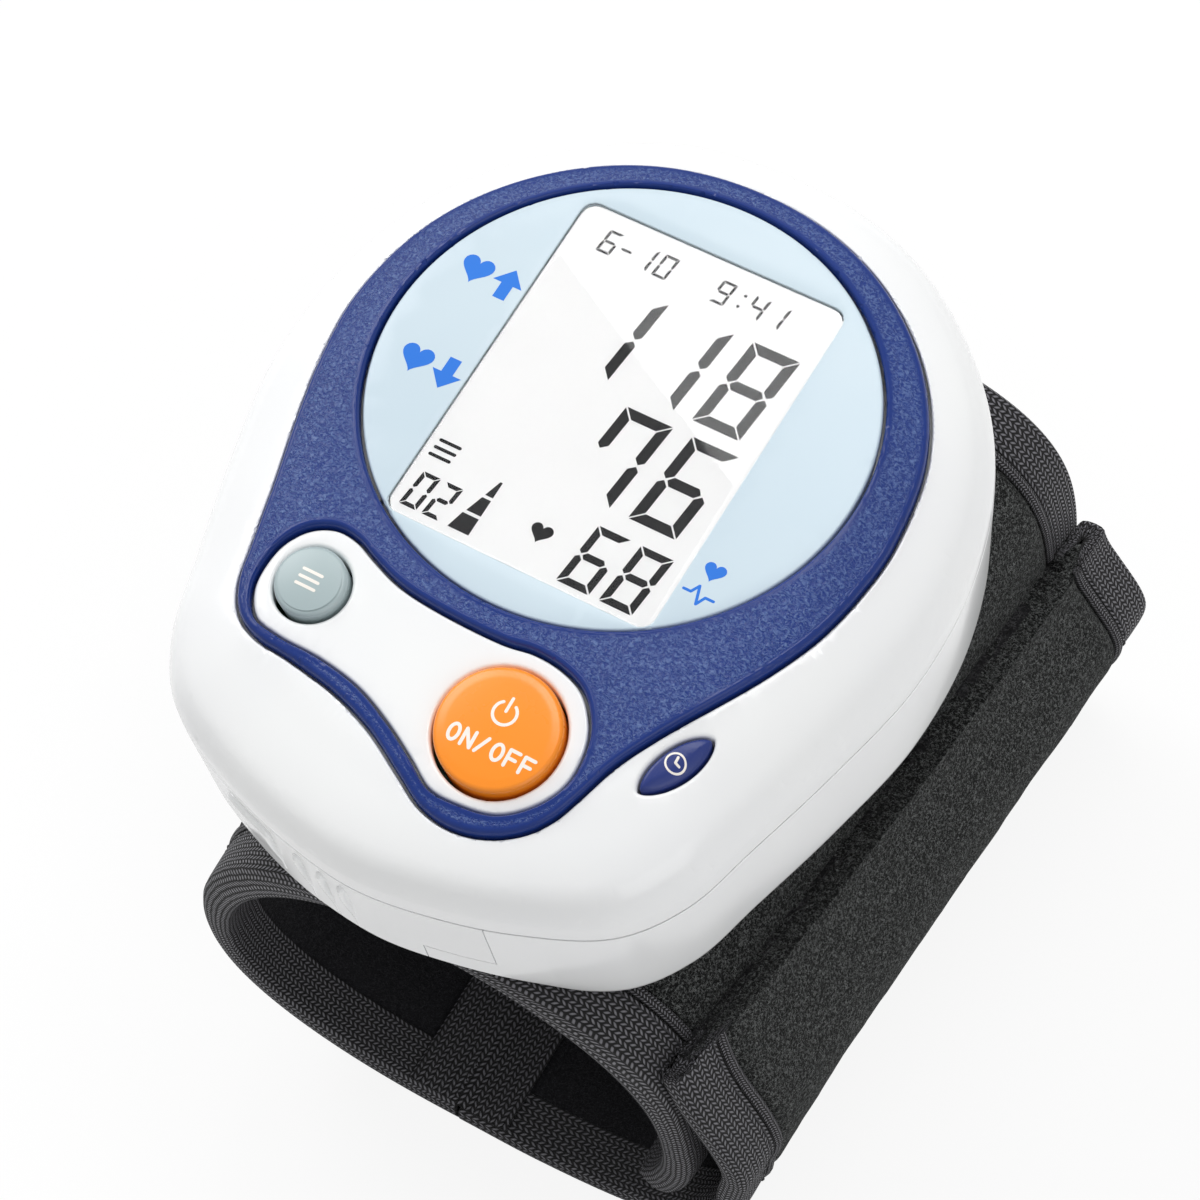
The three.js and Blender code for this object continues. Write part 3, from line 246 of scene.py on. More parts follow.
def rounded_box(width, height, corner, centre=(0, 0), steps=8):
    """A rectangle with round corners, its straight sides cut into short steps."""
    x, y = width / 2 - corner, height / 2 - corner
    arcs = []
    for k, (cx, cy) in enumerate([(x, y), (-x, y), (-x, -y), (x, -y)]):
        turn = np.linspace(k * math.pi / 2, (k + 1) * math.pi / 2, steps)
        arcs.append(np.column_stack([cx + corner * np.cos(turn), cy + corner * np.sin(turn)]))
    count = max(16, int(2 * (width + height) / max(corner * 0.4, 0.15)))
    return spaced(np.vstack(arcs), min(count, 260)) + np.array(centre)


def hexagons(box, step):
    """Evenly spread points over a box, given as its two corners."""
    (x0, y0), (x1, y1) = box
    rows = []
    for k, y in enumerate(np.arange(y0, y1, step * 0.866)):
        x = np.arange(x0 + (k % 2) * step / 2, x1, step)
        rows.append(np.column_stack([x, np.full(len(x), y)]))
    return np.vstack(rows)


def monotone(table, count=200):
    """A smooth curve through a table that only falls, without overshoot."""
    x, y = np.array(table, float).T
    slope = np.diff(y) / np.diff(x)
    turn = np.concatenate([[slope[0]], np.zeros(len(slope) - 1), [slope[-1]]])
    for k in range(1, len(slope)):
        if slope[k - 1] * slope[k] > 0:
            turn[k] = 2 * slope[k - 1] * slope[k] / (slope[k - 1] + slope[k])
    at = np.linspace(x[0], x[-1], count)
    k = np.clip(np.searchsorted(x, at, side="right") - 1, 0, len(slope) - 1)
    h = np.diff(x)[k]
    t = (at - x[k]) / h
    value = (1 + 2 * t) * (1 - t) ** 2 * y[k] + t * (1 - t) ** 2 * h * turn[k]
    value += t**2 * (3 - 2 * t) * y[k + 1] + t**2 * (t - 1) * h * turn[k + 1]
    return at, value


def ease(t):
    t = np.clip(t, 0, 1)
    return t * t * (3 - 2 * t)


# Outlines
def half_to_whole(shares):
    """The housing's outline from the shares of its right half."""
    half = [(x * HALF_WIDTH, y * (HAND_REACH if y > 0 else ARM_REACH)) for x, y in shares]
    return half + [(-x, y) for x, y in half[-2:0:-1]]


def bezel_line(count):
    turns = [math.pi * k / 9 for k in range(10)]
    upper = [(BEZEL_HALF * math.cos(turn), BEZEL_HAND * math.sin(turn)) for turn in turns]
    return smooth_loop(upper + [(x * BEZEL_HALF, y * BEZEL_ARM) for x, y in BEZEL_SHARES], count)


BODY = smooth_loop(half_to_whole(BODY_SHARES), 280)
BEZEL = bezel_line(320)
ISLAND = smooth_loop([(x * BEZEL_HALF, y * BEZEL_ARM) for x, y in ISLAND_SHARES], 200)
PANEL = oval(PANEL_HALF, PANEL_HEIGHT, (0, PANEL_Y), 240)
CROWN_CURVE = monotone(CROWN_SHARES)


def crown(points):
    """Height of the front shell's outside over its plan."""
    inset = away(points, BODY)
    drop = np.interp(inset / CROWN_WIDTH, *CROWN_CURVE) * CROWN_DROP
    past = KEY_SLOPE_START - points[:, 1]
    soft = 0.5 * (past + np.sqrt(past**2 + 1.5))
    return FACE - drop - KEY_SLOPE * soft * np.minimum(1, inset / CROWN_WIDTH)


def lip(distance, radius):
    """How far a rounded edge lies below the surface that it ends."""
    return radius - np.sqrt(np.maximum(0, radius**2 - (radius - np.minimum(distance, radius)) ** 2))


def lip_rings(line, radius, side):
    """Lines beside an edge that carry its rounding: side is 1 outside it and -1 inside."""
    turns = np.radians([18, 36, 54, 72, 90])
    return [grown(line, side * radius * (1 - math.cos(t))) for t in turns]


def leaf(extra, count=64):
    """The clock key's outline, two arcs that meet in points."""
    turn = np.linspace(0, 2 * math.pi, count, endpoint=False)
    x = (CLOCK_WIDTH / 2 + extra) * np.sin(turn) * np.abs(np.sin(turn)) ** 0.3
    y = (CLOCK_LENGTH / 2 + extra) * np.cos(turn)
    c, s = math.cos(math.radians(CLOCK_TURN)), math.sin(math.radians(CLOCK_TURN))
    return np.column_stack([CLOCK[0] + x * c - y * s, CLOCK[1] + x * s + y * c])


# Meshes
def make(name, places, faces, material, body, slot=None, replaces=(), sharp=38, marks=None):
    """A named piece from places in millimetres, on its body, or on none."""
    mesh = bpy.data.meshes.new(name)
    mesh.from_pydata((np.asarray(places, float) * MM).tolist(), [], faces)
    return dress(name, mesh, material, body, slot, replaces, sharp, marks)


def dress(name, mesh, material, body, slot, replaces, sharp=38, marks=None):
    """A named piece from a mesh: smooth but for its sharp edges, with its marks and its finish."""
    mesh.validate()
    mesh.name = name
    mesh.polygons.foreach_set("use_smooth", np.ones(len(mesh.polygons), bool))
    mesh.set_sharp_from_angle(angle=math.radians(sharp))
    for label, values in (marks or {}).items():
        values = np.asarray(values, np.float32)
        kind = "FLOAT" if values.ndim == 1 else "FLOAT_VECTOR"
        layer = mesh.attributes.new(label, kind, "POINT")
        layer.data.foreach_set("value" if values.ndim == 1 else "vector", values.ravel())
    mesh.materials.clear()
    mesh.materials.append(material)
    piece = bpy.data.objects.new(name, mesh)
    bpy.context.scene.collection.objects.link(piece)
    if body:
        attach(piece, body)
    if replaces:
        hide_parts(*replaces)
    return piece


def relief(lines, zone_of, levels, under, seeds=(), foot=0.0):
    """A closed solid over a plan that lines cut into zones, each with its own top. Zone -1 is
    open. It returns places, faces, and for each place its zone, or -1 on the underside."""
    points, edges = [], []
    for line in lines:
        edges += [(len(points) + i, len(points) + (i + 1) % len(line)) for i in range(len(line))]
        points += [Vector(p) for p in line]
    points += [Vector(p) for p in seeds]
    found = delaunay_2d_cdt(points, edges, [], 0, 1e-4)
    plan = np.array([v[:] for v in found[0]])
    tris = np.array(found[2])
    zones = np.asarray(zone_of(plan[tris].mean(1)))
    keep = zones >= 0
    tris, zones = tris[keep], zones[keep]
    places, owner, tops = [], [], []
    for zone, level in enumerate(levels):
        used = np.unique(tris[zones == zone])
        index = np.full(len(plan), -1)
        index[used] = len(owner) + np.arange(len(used))
        places.append(np.column_stack([plan[used], level(plan[used])]))
        owner += [zone] * len(used)
        tops.append(index)
    used = np.unique(tris)
    beneath = np.full(len(plan), -1)
    beneath[used] = len(owner) + np.arange(len(used))
    base = np.column_stack([plan[used], under(plan[used])])
    owner += [-1] * len(used)
    edge_zone = {}
    for (a, b, c), zone in zip(tris.tolist(), zones.tolist()):
        for edge in ((a, b), (b, c), (c, a)):
            edge_zone[edge] = zone
    rim = [edge for edge in edge_zone if edge[::-1] not in edge_zone]
    middle, extra = foot_places(plan, rim, base, beneath, len(owner), foot)
    places = np.vstack(places + [base] + ([extra] if foot else []))
    owner += [-1] * (len(places) - len(owner))
    faces = [tuple(int(tops[z][v]) for v in t) for t, z in zip(tris, zones)]
    faces += [tuple(int(beneath[v]) for v in t[::-1]) for t in tris]
    for (a, b), zone in edge_zone.items():
        other = edge_zone.get((b, a))
        top = tops[zone]
        if other is None:
            rows = [top, middle, beneath] if foot else [top, beneath]
            for upper, lower in zip(rows, rows[1:]):
                faces.append((int(upper[b]), int(upper[a]), int(lower[a]), int(lower[b])))
        elif zone < other:
            faces.append((int(top[b]), int(top[a]), int(tops[other][a]), int(tops[other][b])))
    return places, faces, np.array(owner)


def foot_places(plan, rim, base, beneath, start, foot):
    """The places above the underside's rounded rim, which is drawn in by the rounding."""
    middle = np.full(len(plan), -1)
    if not foot:
        return middle, None
    inward = {}
    for a, b in rim:
        step = plan[b] - plan[a]
        side = np.array([-step[1], step[0]]) / max(np.linalg.norm(step), 1e-9)
        for v in (a, b):
            inward[v] = inward.get(v, np.zeros(2)) + side
    extra = []
    for count, (v, way) in enumerate(inward.items()):
        row = beneath[v] - beneath[beneath >= 0].min()
        middle[v] = start + count
        extra.append([*plan[v], base[row, 2] + foot])
        base[row, :2] += way / max(np.linalg.norm(way), 1e-9) * foot
    return middle, np.array(extra)


def ring_faces(rings, count, first=0):
    """The four-sided faces between rings of one count, whose places follow from a first one."""
    faces = []
    for start in range(first, first + (rings - 1) * count, count):
        for i in range(count):
            after = (i + 1) % count
            faces.append((start + i, start + after, start + count + after, start + count + i))
    return faces


def end_faces(rings, count, first=0):
    """The two flat ends of such rings."""
    last = first + (rings - 1) * count
    return [tuple(range(first, first + count))[::-1], tuple(range(last, last + count))]


def loft(rings):
    """Places and faces of a solid through rings of one count, with flat ends."""
    count = len(rings[0])
    return np.vstack(rings), ring_faces(len(rings), count) + end_faces(len(rings), count)


def tool(places, faces):
    """A solid that only helps to shape another."""
    mesh = bpy.data.meshes.new("tool")
    mesh.from_pydata(np.asarray(places, float).tolist(), [], faces)
    made = bpy.data.objects.new("tool", mesh)
    bpy.context.scene.collection.objects.link(made)
    return made


def shaped(base, *steps):
    """The mesh of a solid after joining, cutting or keeping the common part with others."""
    for how, other in steps:
        change = base.modifiers.new("shape", "BOOLEAN")
        change.operation, change.solver, change.object = how, "MANIFOLD", other
        view = bpy.context.evaluated_depsgraph_get()
        mesh = bpy.data.meshes.new_from_object(base.evaluated_get(view))
        base.modifiers.clear()
        base.data = mesh
        bpy.data.objects.remove(other)
    return base


def finished(base):
    """The mesh of a shaped solid, in metres, once its helper is gone."""
    mesh = base.data
    mesh.transform(Matrix.Scale(MM, 4))
    bpy.data.objects.remove(base)
    return mesh


def block(x, y, z):
    corners = [(x[0], y[0]), (x[1], y[0]), (x[1], y[1]), (x[0], y[1])]
    return tool(*loft([np.array([[*corner, height] for corner in corners]) for height in z]))


def rod(radius, z, place, count=32):
    ring = oval(radius, radius, place, count)
    return tool(*loft([np.column_stack([ring, np.full(count, h)]) for h in z]))


def turned(profile, sides=96):
    """A turned solid about the Z axis, from its outer profile of (radius, height)."""
    rings = []
    for radius, height in profile[1:-1]:
        ring = oval(radius, radius, (0, 0), sides)
        rings.append(np.column_stack([ring, np.full(sides, height)]))
    places = [[0, 0, profile[0][1]], *np.vstack(rings), [0, 0, profile[-1][1]]]
    faces = [(0, 1 + (i + 1) % sides, 1 + i) for i in range(sides)]
    faces += ring_faces(len(rings), sides, 1)
    start, last = 1 + (len(rings) - 1) * sides, len(places) - 1
    faces += [(start + i, start + (i + 1) % sides, last) for i in range(sides)]
    return np.array(places), faces


# Shaders: small helpers, the groups that several finishes share, and the finishes
class Wiring:
    """Adds nodes to a tree and joins them, with plain values set on the sockets."""

    def __init__(self, tree):
        self.tree = tree

    def node(self, kind, inputs=None, **settings):
        made = self.tree.nodes.new(kind if kind.startswith("NodeGroup") else "ShaderNode" + kind)
        for key, value in settings.items():
            setattr(made, key, value)
        for key, value in (inputs or {}).items():
            if isinstance(value, bpy.types.NodeSocket):
                self.join(value, made.inputs[key])
            else:
                made.inputs[key].default_value = value
        return made

    def join(self, value, socket):
        self.tree.links.new(value, socket)

    def math(self, operation, a, b=0.0, clamp=False):
        return self.node("Math", {0: a, 1: b}, operation=operation, use_clamp=clamp).outputs[0]

    def noise(self, vector, scale, detail=2.0, roughness=0.5):
        inputs = {"Vector": vector, "Scale": scale, "Detail": detail, "Roughness": roughness}
        return self.node("TexNoise", inputs).outputs[0]

    def ramp(self, value, low_value, high_value, low_out=0.0, high_out=1.0):
        inputs = {0: value, 1: low_value, 2: high_value, 3: low_out, 4: high_out}
        return self.node("MapRange", inputs).outputs[0]

    def blend(self, share, first, second):
        made = self.node("Mix", {0: share, 6: first, 7: second}, data_type="RGBA")
        return made.outputs[2]


def group(name, inputs, outputs):
    """A shader node group with named sockets, and the wiring to fill it."""
    tree = bpy.data.node_groups.new(name, "ShaderNodeTree")
    for label, value in inputs.items():
        socket = tree.interface.new_socket(label, in_out="INPUT", socket_type="NodeSocketFloat")
        socket.default_value = value
    for label in outputs:
        tree.interface.new_socket(label, in_out="OUTPUT", socket_type="NodeSocketFloat")
    wiring = Wiring(tree)
    return wiring, wiring.node("NodeGroupInput").outputs, wiring.node("NodeGroupOutput").inputs


def in_millimetres(wiring):
    """Places on the piece itself, in millimetres."""
    place = wiring.node("TexCoord").outputs["Object"]
    return wiring.node("VectorMath", {0: place, "Scale": 1000.0}, operation="SCALE").outputs[0]


def moulded_skin():
    """Fine mould texture, slow unevenness of the surface, and a slow change of tone."""
    w, given, out = group("Moulded skin", {"Grain Size": 0.4, "Grain Depth": 0.01}, ["Height", "Tone"])
    place = in_millimetres(w)
    fine = w.noise(place, w.math("DIVIDE", 1.0, given["Grain Size"]), 3.0, 0.6)
    slow = w.noise(place, 0.09, 1.0)
    raised = w.math("MULTIPLY", fine, given["Grain Depth"])
    w.join(w.math("ADD", raised, w.math("MULTIPLY", slow, 0.02)), out["Height"])
    w.join(w.ramp(w.noise(place, 0.05, 2.0), 0.35, 0.65), out["Tone"])
    return w.tree


def handling_marks():
    """Faint smudges and hairline scratches, as a change of roughness."""
    sizes = {"Amount": 0.1, "Size": 14.0}
    w, given, out = group("Handling marks", sizes, ["Roughness Change", "Scratches"])
    place = in_millimetres(w)
    smudge = w.noise(place, w.math("DIVIDE", 1.0, given["Size"]), 5.0, 0.65)
    stretched = w.node("Mapping", {"Vector": place, "Rotation": (0.3, 0.2, 0.7), "Scale": (0.09, 2.6, 0.6)})
    line = w.noise(stretched.outputs[0], 1.0, 1.0, 0.4)
    scratch = w.ramp(w.math("ABSOLUTE", w.math("SUBTRACT", line, 0.5)), 0.0, 0.006, 1.0, 0.0)
    patch = w.ramp(w.noise(place, 0.07, 1.0), 0.52, 0.62)
    scratch = w.math("MULTIPLY", scratch, patch)
    change = w.math("MULTIPLY", w.ramp(smudge, 0.4, 0.7), given["Amount"])
    both = w.math("ADD", change, w.math("MULTIPLY", scratch, given["Amount"]))
    w.join(both, out["Roughness Change"])
    w.join(scratch, out["Scratches"])
    return w.tree


def leather_grain():
    """The bezel's fine grain: short wavy ridges that lie every way, whose tops are the mask for its painted
    sparkle of glints.
    """
    w, given, out = group("Leather grain", {"Size": 0.3, "Depth": 0.05}, ["Height", "Painted Glints"])
    place = in_millimetres(w)
    scale = w.math("DIVIDE", 1.0, given["Size"])
    wandering = w.node("TexNoise", {"Vector": place, "Scale": 1.6}).outputs[1]
    bent = w.node("VectorMath", {0: place, 1: wandering})
    cells = w.node("TexVoronoi", {"Vector": bent.outputs[0], "Scale": scale}, feature="SMOOTH_F1")
    drawn_out = {"Vector": bent.outputs[0], "Rotation": (0, 0, 0.6), "Scale": (0.5, 1.6, 1.0)}
    stretched = w.node("Mapping", drawn_out).outputs[0]
    fine = w.noise(stretched, scale, 2.0)
    ridges = w.math("ADD", w.math("MULTIPLY", cells.outputs[0], 0.6), w.math("MULTIPLY", fine, 0.9))
    w.join(w.math("MULTIPLY", ridges, given["Depth"]), out["Height"])
    # The ridge tops, where the bezel paints pale glints in place of light sparkling on the grain.
    w.join(w.ramp(ridges, 0.62, 1.0), out["Painted Glints"])
    return w.tree


def woven_threads():
    """Rows of short slanting threads across a tape, which lean the other way in each next row.
    It reads the millimetres along and across the tape, which the piece carries."""
    sizes = {"Length": 0.72, "Width": 0.52, "Depth": 0.3}
    w, given, out = group("Woven threads", sizes, ["Height", "Thread", "Fray"])
    carried = w.node("Attribute", attribute_name="thread", attribute_type="GEOMETRY").outputs["Vector"]
    parts = w.node("SeparateXYZ", {0: carried}).outputs
    wobble = w.math("MULTIPLY", w.math("SUBTRACT", w.noise(carried, 0.5, 1.0), 0.5), 0.25)
    across = w.math("DIVIDE", w.math("ADD", parts[1], wobble), given["Width"])
    row = w.math("FLOOR", across)
    odd = w.math("FRACT", w.math("MULTIPLY", row, 0.5))
    way = w.math("SUBTRACT", w.math("MULTIPLY", odd, 4.0), 1.0)
    in_row = w.math("SUBTRACT", w.math("SUBTRACT", across, row), 0.5)
    slant = w.math("MULTIPLY", in_row, w.math("MULTIPLY", way, 0.8))
    along = w.math("ADD", w.math("DIVIDE", parts[0], given["Length"]), slant)
    beside = w.math("ADD", 0.6, w.math("MULTIPLY", thread_hump(w, across), 0.4))
    thread = w.math("MULTIPLY", thread_hump(w, along), beside)
    fibre = w.noise(w.node("Mapping", {"Vector": carried, "Scale": (1.5, 9.0, 1.0)}).outputs[0], 1.0, 2.0)
    raised = w.math("ADD", thread, w.math("MULTIPLY", fibre, 0.2))
    w.join(w.math("MULTIPLY", raised, given["Depth"]), out["Height"])
    w.join(w.ramp(thread, 0.82, 1.0), out["Thread"])
    w.join(fibre, out["Fray"])
    return w.tree


def thread_hump(w, value):
    """Rises and falls once in each unit of the value."""
    part = w.math("FRACT", value)
    centred = w.math("SUBTRACT", w.math("MULTIPLY", part, 2.0), 1.0)
    return w.math("SQRT", w.math("SUBTRACT", 1.0, w.math("POWER", w.math("ABSOLUTE", centred), 2.4), True))


def brushed_pile():
    """Velour: dark tufts and a felt of short pale curls that lie every way."""
    w, given, out = group("Brushed pile", {"Tuft Size": 0.7, "Depth": 0.3}, ["Height", "Shade", "Fibres"])
    place = in_millimetres(w)
    scale = w.math("DIVIDE", 1.0, given["Tuft Size"])
    tuft = w.noise(place, scale, 4.0, 0.7)
    coarse = curl(w, place, w.math("MULTIPLY", scale, 0.9), 0.0)
    fine = curl(w, place, w.math("MULTIPLY", scale, 1.3), 37.0)
    fibres = w.math("MAXIMUM", coarse, fine)
    height = w.math("ADD", tuft, w.math("MULTIPLY", fibres, 0.4))
    w.join(w.math("MULTIPLY", height, given["Depth"]), out["Height"])
    leaning = w.noise(place, 0.1, 3.0, 0.6)
    w.join(w.ramp(w.math("ADD", tuft, w.math("MULTIPLY", leaning, 0.5)), 0.55, 1.0), out["Shade"])
    w.join(fibres, out["Fibres"])
    return w.tree


def curl(w, place, scale, shift):
    """Thin broken lines that wind about, as a mask."""
    moved = w.node("VectorMath", {0: place, 1: (shift, shift, shift)}).outputs[0]
    line = w.math("ABSOLUTE", w.math("SUBTRACT", w.noise(moved, scale, 2.0, 0.7), 0.5))
    shown = w.ramp(w.noise(moved, w.math("MULTIPLY", scale, 1.1), 2.0), 0.42, 0.6)
    return w.math("MULTIPLY", w.ramp(line, 0.01, 0.045, 1.0, 0.0), shown)


def brushed_metal():
    """Fine drawn lines and a slow stain, for the small metal parts."""
    w, given, out = group("Drawn metal", {"Line Size": 0.08}, ["Height", "Stain"])
    place = in_millimetres(w)
    stretched = w.node("Mapping", {"Vector": place, "Scale": (0.3, 1.0, 1.0)}).outputs[0]
    line = w.noise(stretched, w.math("DIVIDE", 1.0, given["Line Size"]), 2.0)
    w.join(w.math("MULTIPLY", line, 0.006), out["Height"])
    w.join(w.ramp(w.noise(place, 0.4, 3.0), 0.4, 0.7), out["Stain"])
    return w.tree


GROUPS = {
    "skin": moulded_skin(), "marks": handling_marks(), "grain": leather_grain(),
    "weave": woven_threads(), "pile": brushed_pile(), "metal": brushed_metal(),
}


def paint(red, green, blue):
    """A colour given as it looks on a screen, from 0 to 255."""
    def linear(value):
        value /= 255
        return value / 12.92 if value <= 0.04045 else ((value + 0.055) / 1.055) ** 2.4
    return (linear(red), linear(green), linear(blue), 1.0)


def begin(name, **sockets):
    """A new material with its shader, whose plain values are set on its own sockets."""
    material = bpy.data.materials.new(name)
    material.use_nodes = True
    material.node_tree.nodes.clear()
    w = Wiring(material.node_tree)
    shader = w.node("BsdfPrincipled", {key.replace("_", " "): value for key, value in sockets.items()})
    w.node("OutputMaterial", {"Surface": shader.outputs[0]})
    return material, w, shader


def use(w, which, **values):
    """One of the shared groups, placed in a material with its own values."""
    made = w.node("Group", node_tree=GROUPS[which])
    for key, value in values.items():
        made.inputs[key.replace("_", " ")].default_value = value
    return made.outputs


def bump(w, shader, height, strength=1.0):
    made = w.node("Bump", {"Strength": strength, "Distance": MM, "Height": height})
    w.join(made.outputs[0], shader.inputs["Normal"])


def moulded(name, color, deep, roughness, grain=0.35, depth=0.006, marks=0.08, **sockets):
    """A moulded plastic or rubber, with a slow change from its colour to a deeper one."""
    material, w, shader = begin(name, **sockets)
    skin = use(w, "skin", Grain_Size=grain, Grain_Depth=depth)
    worn = use(w, "marks", Amount=marks)
    w.join(w.blend(skin["Tone"], color, deep), shader.inputs["Base Color"])
    w.join(w.math("ADD", worn["Roughness Change"], roughness), shader.inputs["Roughness"])
    bump(w, shader, skin["Height"])
    return material


def bezel_finish():
    """Blue plastic, smooth on its rims and grained on the band between them. The grain's ridge tops on the
    band are painted pale blue as painted glints.
    """
    material, w, shader = begin("blue_bezel_grained", IOR=1.5, Specular_IOR_Level=0.26)
    band = w.node("Attribute", attribute_name="band", attribute_type="GEOMETRY").outputs["Fac"]
    grain = use(w, "grain", Size=0.25, Depth=0.13)
    skin = use(w, "skin", Grain_Size=0.3, Grain_Depth=0.004)
    worn = use(w, "marks", Amount=0.05)
    # Painted glints: the grain's ridge tops on the band get a pale blue, in place of the light that
    # sparkles on them.
    ridges = w.math("MULTIPLY", grain["Painted Glints"], band)
    plain = w.blend(skin["Tone"], paint(14, 47, 122), paint(12, 44, 117))
    color = w.blend(w.math("MULTIPLY", ridges, 0.6), plain, paint(112, 138, 186))
    w.join(color, shader.inputs["Base Color"])
    base = w.ramp(band, 0.0, 1.0, 0.2, 0.22)
    w.join(w.math("ADD", base, worn["Roughness Change"]), shader.inputs["Roughness"])
    bump(w, shader, w.math("ADD", w.math("MULTIPLY", grain["Height"], band), skin["Height"]))
    return material


def tape_finish():
    material, w, shader = begin("black_woven_tape", Roughness=0.6, Specular_IOR_Level=0.4)
    weave = use(w, "weave", Length=0.72, Width=0.52, Depth=0.3)
    # Painted highlight and shade: the thread tops are painted pale grey as highlight, and the gaps between
    # them near black as shade, on the black tape.
    color = w.blend(weave["Thread"], paint(2, 2, 3), paint(122, 121, 127))
    color = w.blend(w.math("MULTIPLY", weave["Fray"], 0.3), color, paint(16, 16, 18))
    w.join(color, shader.inputs["Base Color"])
    w.join(w.ramp(weave["Thread"], 0.0, 1.0, 0.9, 0.4), shader.inputs["Roughness"])
    bump(w, shader, weave["Height"])
    return material


def pile_finish(name, dark, light, fibre, tuft, depth):
    material, w, shader = begin(
        name, Roughness=0.95, Specular_IOR_Level=0.15, Sheen_Weight=0.05, Sheen_Roughness=0.35)
    pile = use(w, "pile", Tuft_Size=tuft, Depth=depth)
    shade = w.blend(pile["Shade"], dark, light)
    w.join(w.blend(pile["Fibres"], shade, fibre), shader.inputs["Base Color"])
    w.join(w.ramp(pile["Fibres"], 0.0, 1.0, 0.95, 0.7), shader.inputs["Roughness"])
    bump(w, shader, pile["Height"])
    return material


def metal_finish(name, color, stained, roughness):
    material, w, shader = begin(name, Metallic=1.0)
    drawn = use(w, "metal", Line_Size=0.1)
    w.join(w.blend(drawn["Stain"], color, stained), shader.inputs["Base Color"])
    w.join(w.ramp(drawn["Stain"], 0.0, 1.0, roughness, roughness + 0.15), shader.inputs["Roughness"])
    bump(w, shader, drawn["Height"])
    return material


def lens_finish():
    """Clear plastic with a faint handling haze."""
    material, w, shader = begin(
        "clear_window", Base_Color=(1, 1, 1, 1), IOR=1.22, Metallic=0.0, Transmission_Weight=1.0)
    worn = use(w, "marks", Amount=0.02, Size=9.0)
    w.join(worn["Roughness Change"], shader.inputs["Roughness"])
    bump(w, shader, use(w, "skin", Grain_Size=3.0, Grain_Depth=0.0005)["Height"], 0.1)
    return material


WHITE = moulded(
    "white_shell_satin", paint(243, 244, 244), paint(240, 241, 242), 0.2, grain=0.3, depth=0.002,
    marks=0.02, Coat_Weight=0.2, Coat_Roughness=0.1)
FINISHES = {
    "white_shell": WHITE,
    "blue_bezel": bezel_finish(),
    "pale_panel": moulded(
        "pale_panel_gloss", paint(203, 219, 228), paint(199, 216, 226), 0.16, grain=0.5,
        depth=0.001, marks=0.02, Specular_IOR_Level=0.2),
    "clear_lens": lens_finish(),
    "screen": moulded(
        "screen_grey_white", paint(226, 226, 226), paint(224, 224, 224), 0.4, grain=0.12,
        depth=0.001, marks=0.02, Specular_IOR_Level=0.1),
    "screen_back": moulded("white_diffuser", paint(232, 232, 228), paint(224, 224, 220), 0.5),
    "grey_rubber": moulded(
        "contact_rubber_striped", paint(44, 44, 46), paint(86, 78, 78), 0.7, grain=0.2, depth=0.02),
    "green_board": moulded(
        "green_solder_resist", paint(38, 96, 60), paint(28, 80, 50), 0.3, grain=0.5, depth=0.02),
    "orange_key": moulded(
        "orange_key_satin", paint(255, 147, 22), paint(252, 139, 18), 0.26, grain=0.3,
        depth=0.003, marks=0.06),
    "grey_key": moulded(
        "grey_key_satin", paint(170, 186, 188), paint(162, 178, 181), 0.28, grain=0.3,
        depth=0.003, marks=0.06),
    "blue_key": moulded(
        "blue_key_satin", paint(24, 46, 118), paint(20, 41, 110), 0.3, grain=0.3, depth=0.02,
        marks=0.05, Specular_IOR_Level=0.38),
    "steel": metal_finish("bright_steel", paint(200, 203, 207), paint(172, 174, 178), 0.24),
    "black_plastic": moulded(
        "black_moulded", paint(34, 34, 36), paint(26, 26, 28), 0.45, grain=0.35, depth=0.012),
    "cell_jacket": moulded(
        "cell_jacket_dark", paint(52, 58, 66), paint(44, 50, 58), 0.3, grain=0.6, depth=0.004,
        marks=0.1, Metallic=0.35),
    "air_tube": moulded(
        "milky_silicone", paint(214, 214, 208), paint(204, 203, 196), 0.4, grain=0.4, depth=0.006,
        marks=0.08, Subsurface_Weight=0.15, Subsurface_Radius=(0.002, 0.002, 0.002)),
    "bladder": moulded(
        "black_bladder_film", paint(40, 40, 42), paint(30, 30, 33), 0.5, grain=1.2, depth=0.05),
    "stiffener": moulded(
        "grey_stiffener_sheet", paint(72, 72, 74), paint(62, 62, 64), 0.45, grain=0.5, depth=0.01),
    "loop_fabric": pile_finish(
        "black_loop_velour", paint(4, 5, 5), paint(15, 17, 16), paint(128, 131, 130), 0.45, 0.35),
    "lining_fabric": pile_finish(
        "black_lining_knit", paint(22, 22, 24), paint(38, 38, 41), paint(56, 56, 60), 0.4, 0.12),
    "hook_tape": pile_finish(
        "black_hook_field", paint(12, 12, 13), paint(36, 36, 38), paint(74, 74, 76), 0.9, 0.5),
    "woven_tape": tape_finish(),
}
PRINT_BLUE = moulded(
    "panel_print_blue", paint(22, 116, 218), paint(20, 110, 212), 0.3, grain=0.2, depth=0.002,
    Specular_IOR_Level=0.2)
PRINT_BLACK = moulded(
    "screen_segment_black", paint(10, 10, 13), paint(14, 14, 17), 0.4, grain=0.1, depth=0.001,
    Specular_IOR_Level=0.1)
PRINT_WHITE = moulded(
    "key_print_white", paint(246, 240, 232), paint(240, 234, 226), 0.35, grain=0.2, depth=0.002)
THREAD = moulded(
    "black_sewing_thread", paint(24, 24, 27), paint(34, 34, 38), 0.6, grain=0.15, depth=0.05)


# Housing
def window_line(extra=0.0):
    width, height, corner = WINDOW
    return rounded_box(width + 2 * extra, height + 2 * extra, corner + max(extra, 0))


